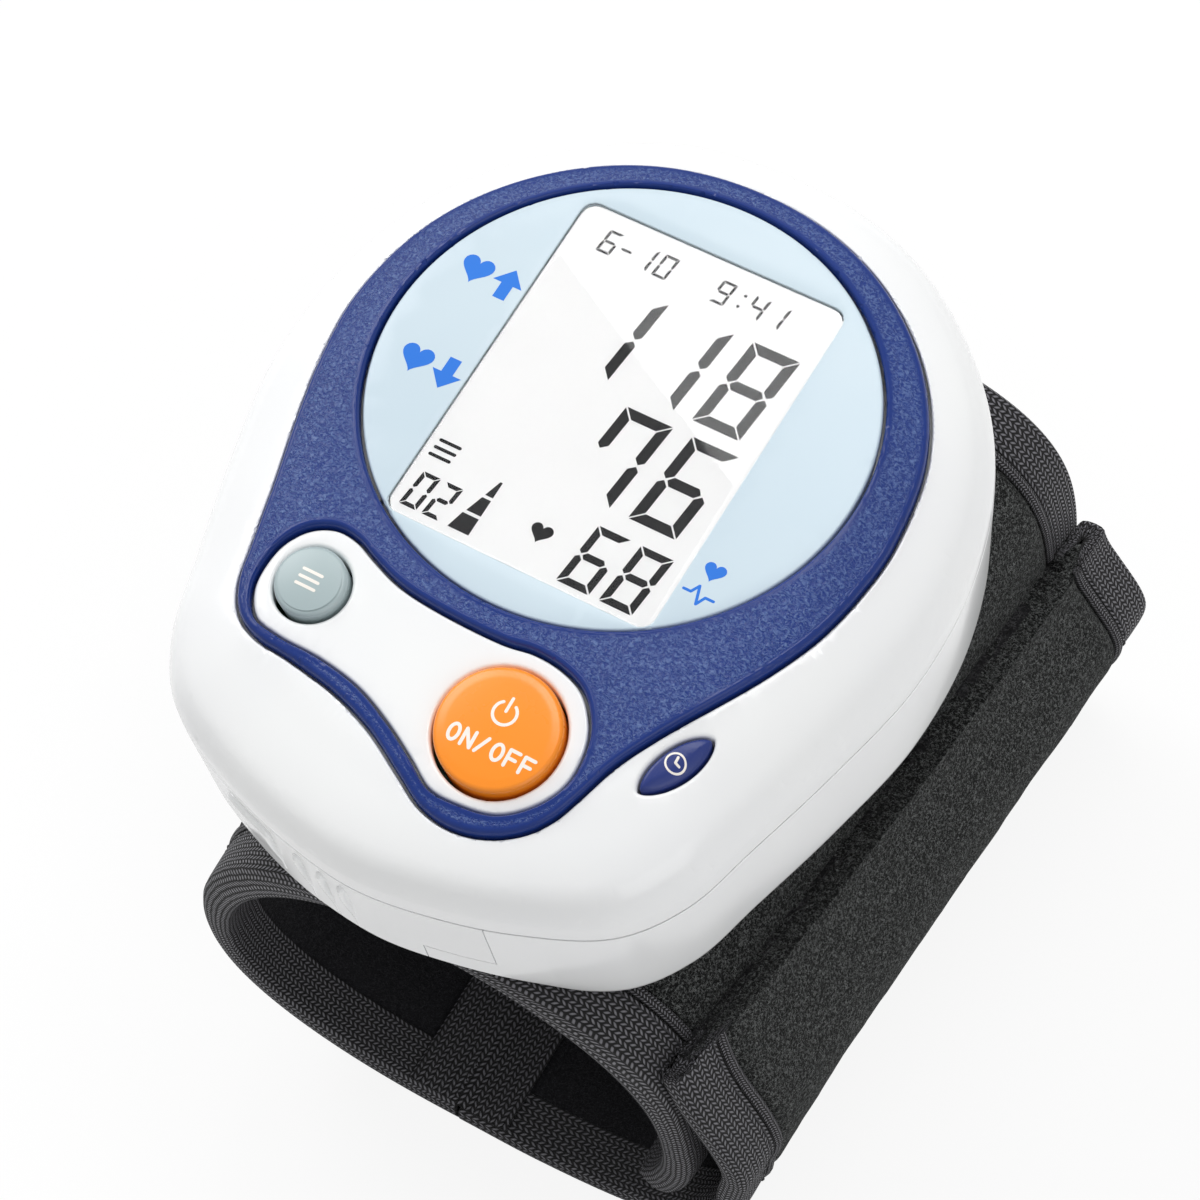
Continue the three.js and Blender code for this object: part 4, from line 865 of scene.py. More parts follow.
def front_shell():
    edge, island, hole = grown(BEZEL, GAP), grown(ISLAND, -GAP), leaf(GAP)
    keys = [
        oval(START_RADIUS + GAP, START_RADIUS + GAP, START, 96),
        oval(MEMORY_RADIUS + GAP, MEMORY_RADIUS + GAP, MEMORY, 72),
    ]
    window = window_line(1.3)

    def zone_of(points):
        zone = np.zeros(len(points), int)
        in_bezel, in_island = inside(points, edge), inside(points, island)
        zone[in_bezel] = 2
        zone[in_bezel & in_island] = 1
        shut = ~inside(points, BODY) | inside(points, hole) | inside(points, window)
        for key in keys:
            shut |= inside(points, key)
        zone[shut] = -1
        return zone

    def outer(points):
        seat, clock = away(points, edge), away(points, hole)
        return crown(points) - lip(seat, SEAT_EDGE) - lip(clock, LEAF_EDGE)

    def middle(points):
        seat = away(points, island)
        near_keys = np.minimum(away(points, keys[0]), away(points, keys[1]))
        return crown(points) - lip(seat, SEAT_EDGE) - lip(near_keys, KEYHOLE_EDGE)

    insets = (0.06, 0.16, 0.32, 0.55, 0.9, 1.4, 2, 2.8, 3.7, 4.7, 5.8, 7, 8.4, 10, 11.5)
    rings = [grown(BODY, -inset) for inset in insets]
    rings += lip_rings(edge, SEAT_EDGE, 1) + lip_rings(hole, LEAF_EDGE, 1)
    rings += lip_rings(island, SEAT_EDGE, -1)
    for key in keys:
        rings += lip_rings(key, KEYHOLE_EDGE, 1)
    seeds = np.vstack(rings + [hexagons(((-37, -52), (37, 36)), 1.7)])
    places, faces, _ = relief(
        [BODY, edge, island, hole, window, *keys], zone_of,
        [outer, middle, lambda p: crown(p) - WINDOW_LEDGE], lambda p: crown(p) - ROOF, seeds, 0.16)
    make("front_shell_skin", places, faces, WHITE, "housing", "white_shell", ["front_shell"])


RIM_INSETS = (0, 0.04, 0.12, 0.25, 0.42, 0.55, 0.75, 0.95)
RIM_DROPS = (0.55, 0.36, 0.16, 0.03, 0, 0.02, 0.11, 0.14)


def rim(distance):
    """The bezel's raised rim: rounded outside, and a small step down to its grained band."""
    return np.interp(distance, RIM_INSETS, RIM_DROPS)


def bezel():
    inner = oval(PANEL_HALF + GAP, PANEL_HEIGHT + GAP, (0, PANEL_Y), 240)
    lines = [BEZEL, ISLAND, inner]

    def zone_of(points):
        open_part = inside(points, ISLAND) | inside(points, inner) | ~inside(points, BEZEL)
        return np.where(open_part, -1, 0)

    def nearest(points):
        return np.minimum.reduce([away(points, line) for line in lines])

    seeds = [hexagons(((-31, -46), (31, 30)), 1.3)]
    for line, side in zip(lines, (-1, 1, 1)):
        seeds += [grown(line, side * inset) for inset in RIM_INSETS[1:]]
    places, faces, owner = relief(
        lines, zone_of, [lambda p: crown(p) + BEZEL_PROUD - rim(nearest(p))],
        lambda p: crown(p) - BEZEL_SEAT, np.vstack(seeds))
    band = np.where(owner == 0, ease((nearest(places[:, :2]) - 0.5) / 0.4), 0)
    make("bezel_ring", places, faces, FINISHES["blue_bezel"], "housing", "blue_bezel", ["bezel"],
         marks={"band": band})


def face_panel():
    window = window_line()

    def level(points):
        outer, inner = away(points, PANEL), away(points, window)
        return FACE - lip(outer, PANEL_EDGE) - lip(inner, WINDOW_EDGE)

    rings = lip_rings(PANEL, PANEL_EDGE, -1) + lip_rings(window, WINDOW_EDGE, 1)
    seeds = np.vstack(rings + [hexagons(((-26, -25), (26, 26)), 3)])
    base = low("face_panel")[2]
    places, faces, _ = relief(
        [PANEL, window], lambda p: np.where(inside(p, PANEL) & ~inside(p, window), 0, -1),
        [level], lambda p: np.full(len(p), base), seeds)
    make("face_panel_plate", places, faces, FINISHES["pale_panel"], "housing", "pale_panel",
         ["face_panel"])


def inlay(name, shapes, surface, material, body, slot, lift=0.02, sink=0.08, move=None):
    """Thin closed marks let into a surface. Each shape is its outline and any holes in it."""
    def zone_of(points):
        marked = np.zeros(len(points), bool)
        for shape in shapes:
            marked |= sum(inside(points, line).astype(int) for line in shape) % 2 == 1
        return np.where(marked, 0, -1)

    lines = [line for shape in shapes for line in shape]
    places, faces, _ = relief(lines, zone_of, [lambda p: surface(p) + lift], lambda p: surface(p) - sink)
    if move is not None:
        places = places @ np.array(move.to_3x3()).T + np.array(move.translation)
    return make(name, places, faces, material, body, slot)


def capsule(a, b, width):
    """The outline of a short stroke with round ends."""
    a, b = np.array(a, float), np.array(b, float)
    way = math.atan2(*(b - a)[::-1])
    ends = []
    for centre, start in ((b, way - math.pi / 2), (a, way + math.pi / 2)):
        turn = start + np.linspace(0, math.pi, 7)
        ends.append(centre + width / 2 * np.column_stack([np.cos(turn), np.sin(turn)]))
    return [np.vstack(ends)]


def strokes(points, width):
    return [capsule(a, b, width) for a, b in zip(points, points[1:])]


def heart(x, y, size):
    turn = np.linspace(0, 2 * math.pi, 40, endpoint=False)
    wide = 16 * np.sin(turn) ** 3
    tall = 13 * np.cos(turn) - 5 * np.cos(2 * turn) - 2 * np.cos(3 * turn) - np.cos(4 * turn)
    return [np.column_stack([x + wide * size / 32, y + (tall + 2.5) * size / 32])]


def arrow(x, y, size, way):
    """A filled arrow that points up or down."""
    shape = np.array([(-0.18, -0.5), (0.18, -0.5), (0.18, 0), (0.45, 0), (0, 0.5), (-0.45, 0), (-0.18, 0)])
    return [np.array([x, y]) + shape * size * np.array([1, way])]


LIT = {
    "0": "abcdef", "1": "bc", "2": "abged", "3": "abgcd", "4": "fgbc", "5": "afgcd", "6": "afgedc",
    "7": "fabc", "8": "abcdefg", "9": "gfabcd",
}


def digit(sign, x, y, width, height, bar):
    """The lit segments of a sign whose lower left corner is at x, y, leaning to the right."""
    w, h, t, m = width, height, bar, 0.12 if bar > 0.6 else bar * 0.18
    half = h / 2
    sides = {
        "a": [(m, h), (w - m, h), (w - m - t, h - t), (m + t, h - t)],
        "d": [(m + t, t), (w - m - t, t), (w - m, 0), (m, 0)],
        "g": [
            (m + t * 0.6, half), (m + t, half + t / 2), (w - m - t, half + t / 2),
            (w - m - t * 0.6, half), (w - m - t, half - t / 2), (m + t, half - t / 2),
        ],
        "f": [(0, h - m), (t, h - m - t), (t, half + t / 2 + m), (t * 0.45, half + m), (0, half + t / 2)],
        "e": [(0, m), (t, m + t), (t, half - t / 2 - m), (t * 0.45, half - m), (0, half - t / 2)],
    }
    sides["b"] = [(w - px, py) for px, py in sides["f"]]
    sides["c"] = [(w - px, py) for px, py in sides["e"]]
    return [[np.array([(x + px + 0.1 * py, y + py) for px, py in sides[s]])] for s in LIT[sign]]


def number(signs, right, y, width, height, bar, pitch):
    """Signs set from their right-hand end."""
    shapes = []
    for k, sign in enumerate(reversed(signs)):
        if sign in LIT:
            shapes += digit(sign, right - width - 0.1 * height - k * pitch, y, width, height, bar)
    return shapes


def screen():
    """The screen's glass, whose upper layer stands in the window, and the clear lens over it."""
    lower, upper = window_line(GLASS_BORDER), window_line(-0.12)
    foot, step, top = low("display_glass")[2], high("display_glass")[2], FACE - SCREEN_DEPTH

    def zone_of(points):
        return np.where(inside(points, upper), 0, np.where(inside(points, lower), 1, -1))

    def flange(points):
        return np.minimum(step, crown(points) - BEZEL_SEAT - GAP)

    places, faces, _ = relief(
        [lower, upper], zone_of, [lambda p: np.full(len(p), top), flange],
        lambda p: np.full(len(p), foot), hexagons(((-17, -22), (17, 22)), 1.2))
    make("screen_glass", places, faces, FINISHES["screen"], "housing", "screen", ["display_glass"])
    edge = window_line(-0.02)
    rings = lip_rings(edge, LENS_EDGE, -1) + [window_line(-0.3), window_line(-0.6)]
    places, faces, _ = relief(
        [edge], lambda p: np.where(inside(p, edge), 0, -1),
        [lambda p: FACE - 0.01 - lip(away(p, edge), LENS_EDGE)], lambda p: np.full(len(p), top + 0.1),
        np.vstack(rings + [hexagons(((-14, -19), (14, 19)), 1.5)]))
    make("screen_window", places, faces, FINISHES["clear_lens"], "housing", "clear_lens",
         ["display_lens"])
    signs(top)


SIGHT = (0.3536, -0.4087)


def signs(top):
    """The screen's numbers and signs, set where the eye finds them in the window: below its edge
    by some depth, they move along the line of sight."""
    shift = np.array(SIGHT) * (top - FACE)
    shapes = number("118", 13.6, 2.25, 5.35, 10.55, 1.15, 7.5)
    shapes += number("76", 13.6, -10.17, 5.35, 10.8, 1.15, 7.5)
    shapes += number("68", 13.6, -19.3, 3.7, 7.1, 0.8, 4.8)
    shapes += number("02", -8.75, -19.06, 2.0, 4.16, 0.46, 2.6)
    for signs_here, right in (("6", -9.5), ("10", -3.0), ("9", 3.7), ("41", 9.9)):
        shapes += number(signs_here, right, 15.0, 1.62, 2.8, 0.3, 2.3)
    shapes += strokes([(-8.9, 16.3), (-8.0, 16.3)], 0.28)
    shapes += [[oval(0.18, 0.18, (4.8 + x, y), 12)] for x, y in ((0, 15.7), (0.12, 17.1))]
    shapes += [heart(0.47, -15.64, 2.36)]
    for y in (-12.9, -12.0, -11.1):
        shapes += strokes([(-12.6 + 0.1 * y, y), (-10.4 + 0.1 * y, y)], 0.36)
    bars = [(-19.06, -17.06, -8.1, -7.55), (-16.7, -14.75, -7.36, -6.7), (-14.4, -12.5, -6.58, -5.97)]
    for foot, head, left, upper_left in bars:
        shapes.append([np.array([(left, foot), (-5.7, foot), (-5.7, head), (upper_left, head)])])
    shapes = [[line + shift for line in shape] for shape in shapes]
    inlay("screen_signs", shapes, lambda p: np.full(len(p), top), PRINT_BLACK, "housing", "screen",
          0.03, 0.06)


def panel_print():
    """Blue signs on the panel, beside the numbers."""
    shapes = []
    for y, way in ((7.4, 1), (-4.3, -1)):
        shapes += [heart(-20.9, y, 3.5), arrow(-17.2, y, 3.7, way)]
    shapes += [heart(17.6, -11.6, 2.3)]
    beat = [(15.8, -14.3), (16.6, -14.3), (17.1, -13.4), (17.7, -15.3), (18.2, -14.3), (19.1, -14.3)]
    shapes += strokes(beat, 0.3)
    inlay("panel_print", shapes, lambda p: np.full(len(p), FACE), PRINT_BLUE, "housing",
          "pale_panel", 0.015)


def key_frame(place):
    """Where a key stands: on the sloping surface round it."""
    height = float(crown(np.array([place]))[0])
    return Matrix.Translation((*place, height)) @ Matrix.Rotation(math.atan(KEY_SLOPE), 4, "X")


def dome(radius):
    return lambda points: KEY_RAISE + KEY_DOME * (1 - (points**2).sum(1) / radius**2)


def round_key(name, place, radius, finish, marks):
    """A domed key on its stem, hollow round it, with its mark. Its body, node and switch plunger
    are named after it."""
    node, body, slot = name + "_button", name + "_key", finish
    foot = high(name + "_plunger")[2] + GAP - float(crown(np.array([place]))[0])
    inner, hollow = radius - KEY_SKIN, KEY_RAISE - KEY_SKIN
    profile = [(0, foot), (STEM_RADIUS, foot), (STEM_RADIUS, hollow), (inner, hollow)]
    profile += [(inner, SKIRT_FOOT), (radius, SKIRT_FOOT)]
    for turn in np.radians(np.linspace(0, 90, 9)):
        out, up = KEY_EDGE * (1 - math.cos(turn)), KEY_EDGE * math.sin(turn)
        profile.append((radius - out, KEY_RAISE - KEY_EDGE + up))
    for share in np.linspace(0.86, 0.05, 12):
        profile.append((radius * share, KEY_RAISE + KEY_DOME * (1 - share**2)))
    profile.append((0, KEY_RAISE + KEY_DOME))
    places, faces = turned(profile)
    spot = key_frame(place)
    places = places @ np.array(spot.to_3x3()).T + np.array(spot.translation)
    make(body + "_cap", places, faces, FINISHES[finish], body, slot, [node])
    inlay(body + "_cap_mark", marks, dome(radius), PRINT_WHITE, body, slot, 0.02, 0.08, spot)


def arc(x, y, radius, start, end, steps=20):
    turn = np.radians(np.linspace(start, end, steps))
    return list(zip(x + radius * np.cos(turn), y + radius * np.sin(turn)))


def letters(words, x, y, height, width):
    """Plain stroke letters for the two words on the switch."""
    shapes = []
    wide = height * 0.62
    for sign in words:
        left, right, top = x, x + wide, y + height
        if sign == "O":
            ring = np.array([left + wide / 2, y + height / 2])
            line = spaced(oval(wide / 2, height / 2, ring, 40), 40)
            shapes.append([grown(line, side * width / 2) for side in (1, -1)])
        elif sign == "N":
            shapes += strokes([(left, y), (left, top), (right, y), (right, top)], width)
        elif sign == "F":
            shapes += strokes([(left, y), (left, top), (right, top)], width)
            shapes += strokes([(left, y + height / 2), (right - wide * 0.15, y + height / 2)], width)
        elif sign == "/":
            shapes += strokes([(left, y), (right - wide * 0.2, top)], width)
        x += wide + height * 0.36
    return shapes


def keys():
    power = strokes(arc(0, 1.55, 1.2, 125, 415, 26), 0.32) + strokes([(0, 1.75), (0, 3.2)], 0.32)
    words = letters("ON/OFF", -4.05, -3.0, 1.65, 0.36)
    round_key("start", START, START_RADIUS, "orange_key", power + words)
    lines = []
    for y in (0.8, 0, -0.8):
        lines += strokes([(x, y) for x in (-1.05, -0.35, 0.35, 1.05)], 0.32)
    round_key("memory", MEMORY, MEMORY_RADIUS, "grey_key", lines)
    clock_key()


def clock_key():
    edge, mark = leaf(0), np.array(CLOCK)

    def level(points):
        inset = away(points, edge)
        return crown(points) + CLOCK_RAISE + CLOCK_DOME * ease(inset / 1.3) - lip(inset, CLOCK_EDGE)

    rings = lip_rings(edge, CLOCK_EDGE, -1) + [grown(edge, -inset) for inset in (0.65, 0.9)]
    base = low("clock_button")[2] + KEY_SKIN
    places, faces, _ = relief(
        [edge], lambda p: np.where(inside(p, edge), 0, -1), [level],
        lambda p: np.full(len(p), base), np.vstack(rings))
    make("clock_key_cap", places, faces, FINISHES["blue_key"], "clock_key", "blue_key",
         ["clock_button"])
    dial = oval(0.95, 0.95, mark, 40)
    hands = [(mark[0] - 0.02, mark[1] + 0.6), tuple(mark), (mark[0] + 0.45, mark[1] - 0.12)]
    shapes = [[grown(dial, 0.1), grown(dial, -0.1)], *strokes(hands, 0.24)]
    inlay("clock_key_mark", shapes, level, PRINT_WHITE, "clock_key", "blue_key")


def body_ring(inset, height):
    ring = grown(BODY, -inset)
    return np.column_stack([ring, np.full(len(ring), height)])


def rear_block():
    """The rear shell's whole outside, with a drafted wall and rounded edges."""
    foot = [(REAR_FOOT, 0), (1.18, 0.04), (0.98, 0.17), (0.84, 0.4), (0.75, 0.75)]
    top = SEAM - BOTTOM
    head = [(0.03, top - SEAM_EDGE), (0.045, top - 0.12), (0.09, top - 0.03), (0.18, top)]
    rings = [*foot, (REAR_DRAFT, REAR_ROUND), *head]
    return tool(*loft([body_ring(inset, BOTTOM + height) for inset, height in rings]))


def section(shape, turn):
    """A line round the wrist, seen along it."""
    (right, left), (rise, fall), (right_power, left_power, lower_power) = shape
    c, s = np.cos(np.radians(turn)), np.sin(np.radians(turn))
    middle = np.where(c < 0, -LEFT_DROP, 0.0)
    reach = np.where(s < 0, -fall, rise) - middle
    power = np.where(s < 0, lower_power, np.where(c < 0, left_power, right_power))
    x = np.where(c < 0, left, right) * np.sign(c) * np.abs(c) ** (2 / power)
    return np.column_stack([x, middle + reach * np.abs(s) ** (2 / power)])


def hand_share(y):
    return (y - ARM_END) / (HAND_END - ARM_END)


def width_share(y):
    return ARM_WIDTH_SHARE + (1 - ARM_WIDTH_SHARE) * hand_share(y)


def cuff_block(extra):
    """The cuff's block, grown on all sides, which the rear shell sits over."""
    outline = grown(spaced(section(COVER, np.arange(0, 360, 1.0)), 240), extra)
    rings = []
    for y in (-ARM_REACH - 3, HAND_REACH + 3):
        x, z = outline[:, 0] * width_share(y), outline[:, 1]
        rings.append(np.column_stack([x, np.full(len(outline), y), z]))
    return tool(*loft(rings[::-1]))


def rear_hollow():
    """The room inside the rear shell."""
    inset = WALL + REAR_DRAFT
    room = tool(*loft([body_ring(inset, BOTTOM + FLOOR_WALL), body_ring(inset, SEAM + 3)]))
    return shaped(room, ("DIFFERENCE", cuff_block(GAP + FLOOR_WALL)))


def cover_zone(clearance):
    """The battery cover's part of the housing: all at the arm end but for a step on the right."""
    arm, foot = -ARM_REACH - 3, BOTTOM - 3
    x, y = (-HALF_WIDTH - 3, COVER_RIGHT + clearance), (arm, COVER_BACK + clearance)
    whole = block(x, y, (foot, SEAM + 3))
    x, y = (STEP_LEFT + clearance, COVER_RIGHT + 3), (arm - 3, COVER_BACK + 3)
    step = block(x, y, (foot - 3, BOTTOM + STEP_HEIGHT - clearance))
    return shaped(whole, ("DIFFERENCE", step))


def rear_shell():
    cuts = [rear_hollow(), cuff_block(GAP), cover_zone(0.12)]
    cuts += [rod(BOSS_HOLE, (BOTTOM - 3, BOTTOM + 3), place) for place in BOSSES]
    steps = [("DIFFERENCE", cut) for cut in cuts]
    mesh = finished(shaped(rear_block(), *steps))
    dress("rear_shell_body", mesh, WHITE, "housing", "white_shell", ["rear_shell"], 30)


def arm_side(x, z):
    """The housing's outer face at the arm end, over X and the height."""
    branch = BODY[BODY[:, 1] < -30]
    branch = branch[np.argsort(branch[:, 0])]
    draft = np.interp(z, [BOTTOM + REAR_ROUND, SEAM - SEAM_EDGE], [REAR_DRAFT, 0.03])
    return np.interp(x, branch[:, 0], branch[:, 1]) + draft


def grip(x, z, radius, height):
    """A rounded pad or rib that stands out of the battery cover, most at its head."""
    width, tall = x[1] - x[0], z[1] - z[0]
    line = rounded_box(width, tall, radius, ((x[0] + x[1]) / 2, (z[0] + z[1]) / 2), 10)
    round_over = min(0.5, width * 0.49)

    def level(points):
        fade = 0.06 + 0.94 * ease((points[:, 1] - z[0] - tall * 0.1) / (tall * 0.75))
        return height * fade - lip(away(points, line), round_over) * height / round_over

    rings = [ring for ring in lip_rings(line, round_over, -1) if abs(area_of(ring)) > 0.3]
    spine = [[(x[0] + x[1]) / 2, h] for h in np.linspace(z[0] + radius, z[1] - radius, 16)]
    places, faces, _ = relief(
        [line], lambda p: np.where(inside(p, line), 0, -1), [level],
        lambda p: np.full(len(p), -1.0), np.vstack([*rings, spine]))
    px, pz, out = places.T
    return tool(np.column_stack([px, arm_side(px, pz) - out, pz]), [face[::-1] for face in faces])


def battery_cover():
    """The battery cover, cut from the rear shell's block, with its grip and its tongue."""
    tall = (BOTTOM + GRIP_FOOT, SEAM - GRIP_HEAD)
    steps = [("DIFFERENCE", rear_hollow()), ("INTERSECT", cover_zone(0))]
    cover = shaped(rear_block(), *steps, ("DIFFERENCE", cuff_block(GAP)))
    grips = [grip(GRIP_PAD, tall, 0.9, GRIP_PROUD)]
    half = RIB_WIDTH / 2
    grips += [grip((x - half, x + half), tall, half - 0.01, GRIP_PROUD) for x in GRIP_RIBS]
    tongue = block((-24.5, -20.5), (COVER_BACK - 5, COVER_BACK + 5), (BOTTOM + 2.6, BOTTOM + 3.75))
    steps = [("UNION", part) for part in (*grips, tongue)]
    mesh = finished(shaped(cover, *steps, ("DIFFERENCE", cuff_block(GAP))))
    skin = dress("battery_cover_skin", mesh, WHITE, "battery_door", "white_shell",
                 ["battery_cover"], 30)
    skin.modifiers.new("broad_faces_lead", "WEIGHTED_NORMAL").keep_sharp = True


# Cuff and strap: bands of sewn layers. A place on one is given by its length and width, by its
# share of the thickness from the outside in, and by how far it stands proud of that.
CUFF_TURNS = np.linspace(HINGE_TURN, INNER_END_TURN - 3, 1500)
CUFF_RUN = run_along(section(COVER, CUFF_TURNS))
CUFF_LENGTH = float(np.interp(-INNER_END_TURN, -CUFF_TURNS, CUFF_RUN))


def cuff_place(u, v, share, proud):
    turn = np.interp(u, CUFF_RUN, CUFF_TURNS)
    outer, inner = section(COVER, turn), section(BORE, turn)
    way = outer - inner
    way /= np.linalg.norm(way, axis=1)[:, None]
    spot = outer + (inner - outer) * share[:, None] + way * proud[:, None]
    return np.column_stack([spot[:, 0] * width_share(v), v, spot[:, 1]])


def tail_line(bulge, shares):
    points = [(GAP, -COVER_BOTTOM)] + [(x * bulge, -z * COVER_BOTTOM) for x, z in TAIL_SHARES]
    points += [(bulge, TAIL_RISE)] + [(x * bulge, z * COVER_BOTTOM) for x, z in shares]
    line = curve_through(points, False)
    return line, run_along(line)


TAILS = [
    tail_line(TAIL_BULGE * TAIL_ARM_WIDTH_SHARE, TAIL_ARM_SHARES),
    tail_line(TAIL_BULGE, TAIL_HAND_SHARES),
]
TAIL_LENGTH = float(TAILS[1][1][-1])
STRAP_LENGTH = TAIL_LENGTH + STRAP_REACH
BED = section(COVER, np.linspace(-60, 85, 900))
BED_NORMALS = normals_of(BED, False)


def tail_place(u, v, share, proud):
    depth = share * TAIL_THICKNESS - proud
    ends = []
    for line, run in TAILS:
        at = u / TAIL_LENGTH * run[-1]
        spot, before, after = (
            np.column_stack([np.interp(at + shift, run, line[:, k]) for k in (0, 1)])
            for shift in (0, -0.4, 0.4))
        step = after - before
        step /= np.maximum(np.linalg.norm(step, axis=1), 1e-9)[:, None]
        spot = spot + step * np.maximum(0, at - run[-1])[:, None]
        ends.append(spot + np.column_stack([-step[:, 1], step[:, 0]]) * depth[:, None])
    mix = hand_share(v)[:, None]
    spot = ends[0] * (1 - mix) + ends[1] * mix
    return settled(np.column_stack([spot[:, 0], v, spot[:, 1]]), u, TAIL_THICKNESS - depth)


def settled(places, u, height):
    """Lays the strap's last stretch down on the first layer, each place at its height over it."""
    share = ease((u - TAIL_LENGTH + SETTLE_BEFORE) / SETTLE_OVER)
    near = share > 0
    if near.any():
        wide = width_share(places[near, 1])
        flat = np.column_stack([places[near, 0] / wide, places[near, 2]])
        k = ((flat[:, None] - BED[None]) ** 2).sum(2).argmin(1)
        rise = ((flat - BED[k]) * BED_NORMALS[k]).sum(1)
        flat += BED_NORMALS[k] * ((height[near] + STRAP_REST - rise) * share[near])[:, None]
        places[near, 0], places[near, 2] = flat[:, 0] * wide, flat[:, 1]
    return places


def tail_low(u):
    share = np.maximum(0, (u / STRAP_LENGTH - TAIL_TRIM_START) / (1 - TAIL_TRIM_START))
    return ARM_END + TAIL_TRIM * share**2


def cuff_low(u):
    return np.full(len(u), ARM_END)


def border(length, low_edge, soften):
    """The band's bound edge in its flat cut: along the arm end, round the free end and back."""
    u = np.linspace(0, length, 160)
    points = np.vstack([
        np.column_stack([u, low_edge(u)]),
        np.column_stack([np.full(80, length), np.linspace(low_edge(u[-1:])[0], HAND_END, 80)]),
        np.column_stack([u[::-1], np.full(160, HAND_END)]),
    ])
    line = spaced(points, int((2 * length + 83) / 0.9), closed=False)
    step = np.linalg.norm(line[1] - line[0])
    reach = int(3 * soften / step)
    kernel = np.exp(-0.5 * (np.arange(-reach, reach + 1) * step / soften) ** 2)
    head = 2 * line[0] - line[reach:0:-1]
    foot = 2 * line[-1] - line[-2:-reach - 2:-1]
    padded = np.vstack([head, line, foot])
    return np.column_stack([np.convolve(padded[:, k], kernel / kernel.sum(), "valid") for k in (0, 1)])


def strap_edge(at_hand):
    """One long edge of the strap in its flat cut, with close steps where the tape's end rounds."""
    steps = np.linspace(0, STRAP_LENGTH - END_ROUND, int(TAIL_LENGTH / 0.9))
    close = STRAP_LENGTH - END_ROUND * (1 - np.sin(np.linspace(0.15, 1.53, 9)))
    u = np.concatenate([steps, close])
    line = np.column_stack([u, np.full(len(u), HAND_END) if at_hand else tail_low(u)])
    return line[::-1] if at_hand else line


def rounded_end(u, end, reach=END_ROUND):
    """Falls from 1 to near 0 over the last stretch before an end, like a quarter circle."""
    return np.sqrt(1 - np.clip(1 - (end - u) / reach, 0, 0.995) ** 2)


def swept(place, line, profile, blunt_at=None):
    """A closed profile of (inset, share, proud) carried along a band's edge. Where blunt_at gives
    the free end's place, the profile closes there."""
    inward = -normals_of(line, False)
    open_share = np.ones(len(line)) if blunt_at is None else rounded_end(line[:, 0], blunt_at)
    middle = (max(p[0] for p in profile) + min(p[0] for p in profile)) / 2
    centre = (max(p[1] for p in profile) + min(p[1] for p in profile)) / 2
    run = run_along(line)
    rings, threads = [], []
    around = 0.0
    for k, (inset, share, proud) in enumerate(profile):
        if k:
            step = np.array(profile[k]) - np.array(profile[k - 1])
            around += math.hypot(step[0], step[1] * 3 + step[2])
        at = line + inward * (middle + (inset - middle) * open_share)[:, None]
        rings.append(place(at[:, 0], at[:, 1], centre + (share - centre) * open_share, proud * open_share))
        threads.append(np.column_stack([run, np.full(len(line), around), 0 * run]))
    count = len(profile)
    places = np.stack(rings, 1).reshape(-1, 3)
    thread = np.stack(threads, 1).reshape(-1, 3)
    return places, ring_faces(len(line), count) + end_faces(len(line), count), thread


def tape_profile(width, proud, cloth=0.45):
    """The tape that folds over an edge, as a closed outline of its own thickness."""
    above = [(width, 0, proud * 0.55), (width - 0.25, 0, proud), (width * 0.6, 0, proud + 0.04),
             (1.2, 0, proud), (0.45, 0, proud - 0.08)]
    fold = [(0.02, 0.06, -0.05), (-0.22, 0.25, 0), (-0.3, 0.5, 0), (-0.22, 0.75, 0), (0.02, 0.94, 0.05)]
    below = [(0.45, 1, 0.08 - proud), (1.2, 1, -proud), (width * 0.6, 1, -proud), (width, 1, -proud)]
    inside_below = [(width, 1, cloth - proud), (width * 0.6, 1, cloth - proud), (0.9, 1, cloth)]
    inside_fold = [(0.35, 0.7, 0), (0.35, 0.3, 0)]
    inside_above = [(0.9, 0, -cloth), (width * 0.6, 0, proud - cloth), (width, 0, proud - cloth)]
    return above + fold + below + inside_below + inside_fold + inside_above


def ridge_profile(inset, half_width, half_height, centre):
    """A piped ridge where the tape meets the pile."""
    turn = np.linspace(0, 2 * math.pi, 14, endpoint=False)
    return [(inset + half_width * math.cos(t), 0, centre + half_height * math.sin(t)) for t in turn]


def stitches(place, line, inset, proud, pitch=2.3, length=1.6, radius=0.12):
    """A row of separate stitches along a band's edge, as one mesh of closed threads."""
    inward = -normals_of(line, False)
    path = line + inward * inset
    run = run_along(path)
    places, faces = [], []
    stations = np.array([(0, 0.25), (0.12, 0.8), (0.5, 1.0), (0.88, 0.8), (1, 0.25)])
    for start in np.arange(1.0, run[-1] - length - 1, pitch):
        at = start + stations[:, 0] * length
        u, v = (np.interp(at, run, path[:, k]) for k in (0, 1))
        rise = proud + 0.11 * np.sin(stations[:, 0] * math.pi)
        middle = place(u, v, np.zeros(5), rise)
        above = place(u, v, np.zeros(5), rise + 0.5) - middle
        above /= np.linalg.norm(above, axis=1)[:, None]
        along = np.gradient(middle, axis=0)
        side = np.cross(above, along)
        side /= np.linalg.norm(side, axis=1)[:, None]
        base = len(places) * 6
        turn = np.arange(6) * math.pi / 3
        for k in range(5):
            around = np.outer(np.cos(turn), side[k]) + np.outer(np.sin(turn), above[k])
            places.append(middle[k] + radius * stations[k, 1] * around)
        faces += ring_faces(5, 6, base) + end_faces(5, 6, base)
    return np.vstack(places), faces


def ripple(u, v):
    """Slow unevenness of sewn cloth, in millimetres."""
    return (
        0.04 * np.sin(u * 0.21 + 1.3 + 0.5 * np.sin(v * 0.13)) + 0.04 * np.sin(v * 0.37 + u * 0.05)
        + 0.03 * np.sin(u * 0.63 + v * 0.41 + 2.0)
    )


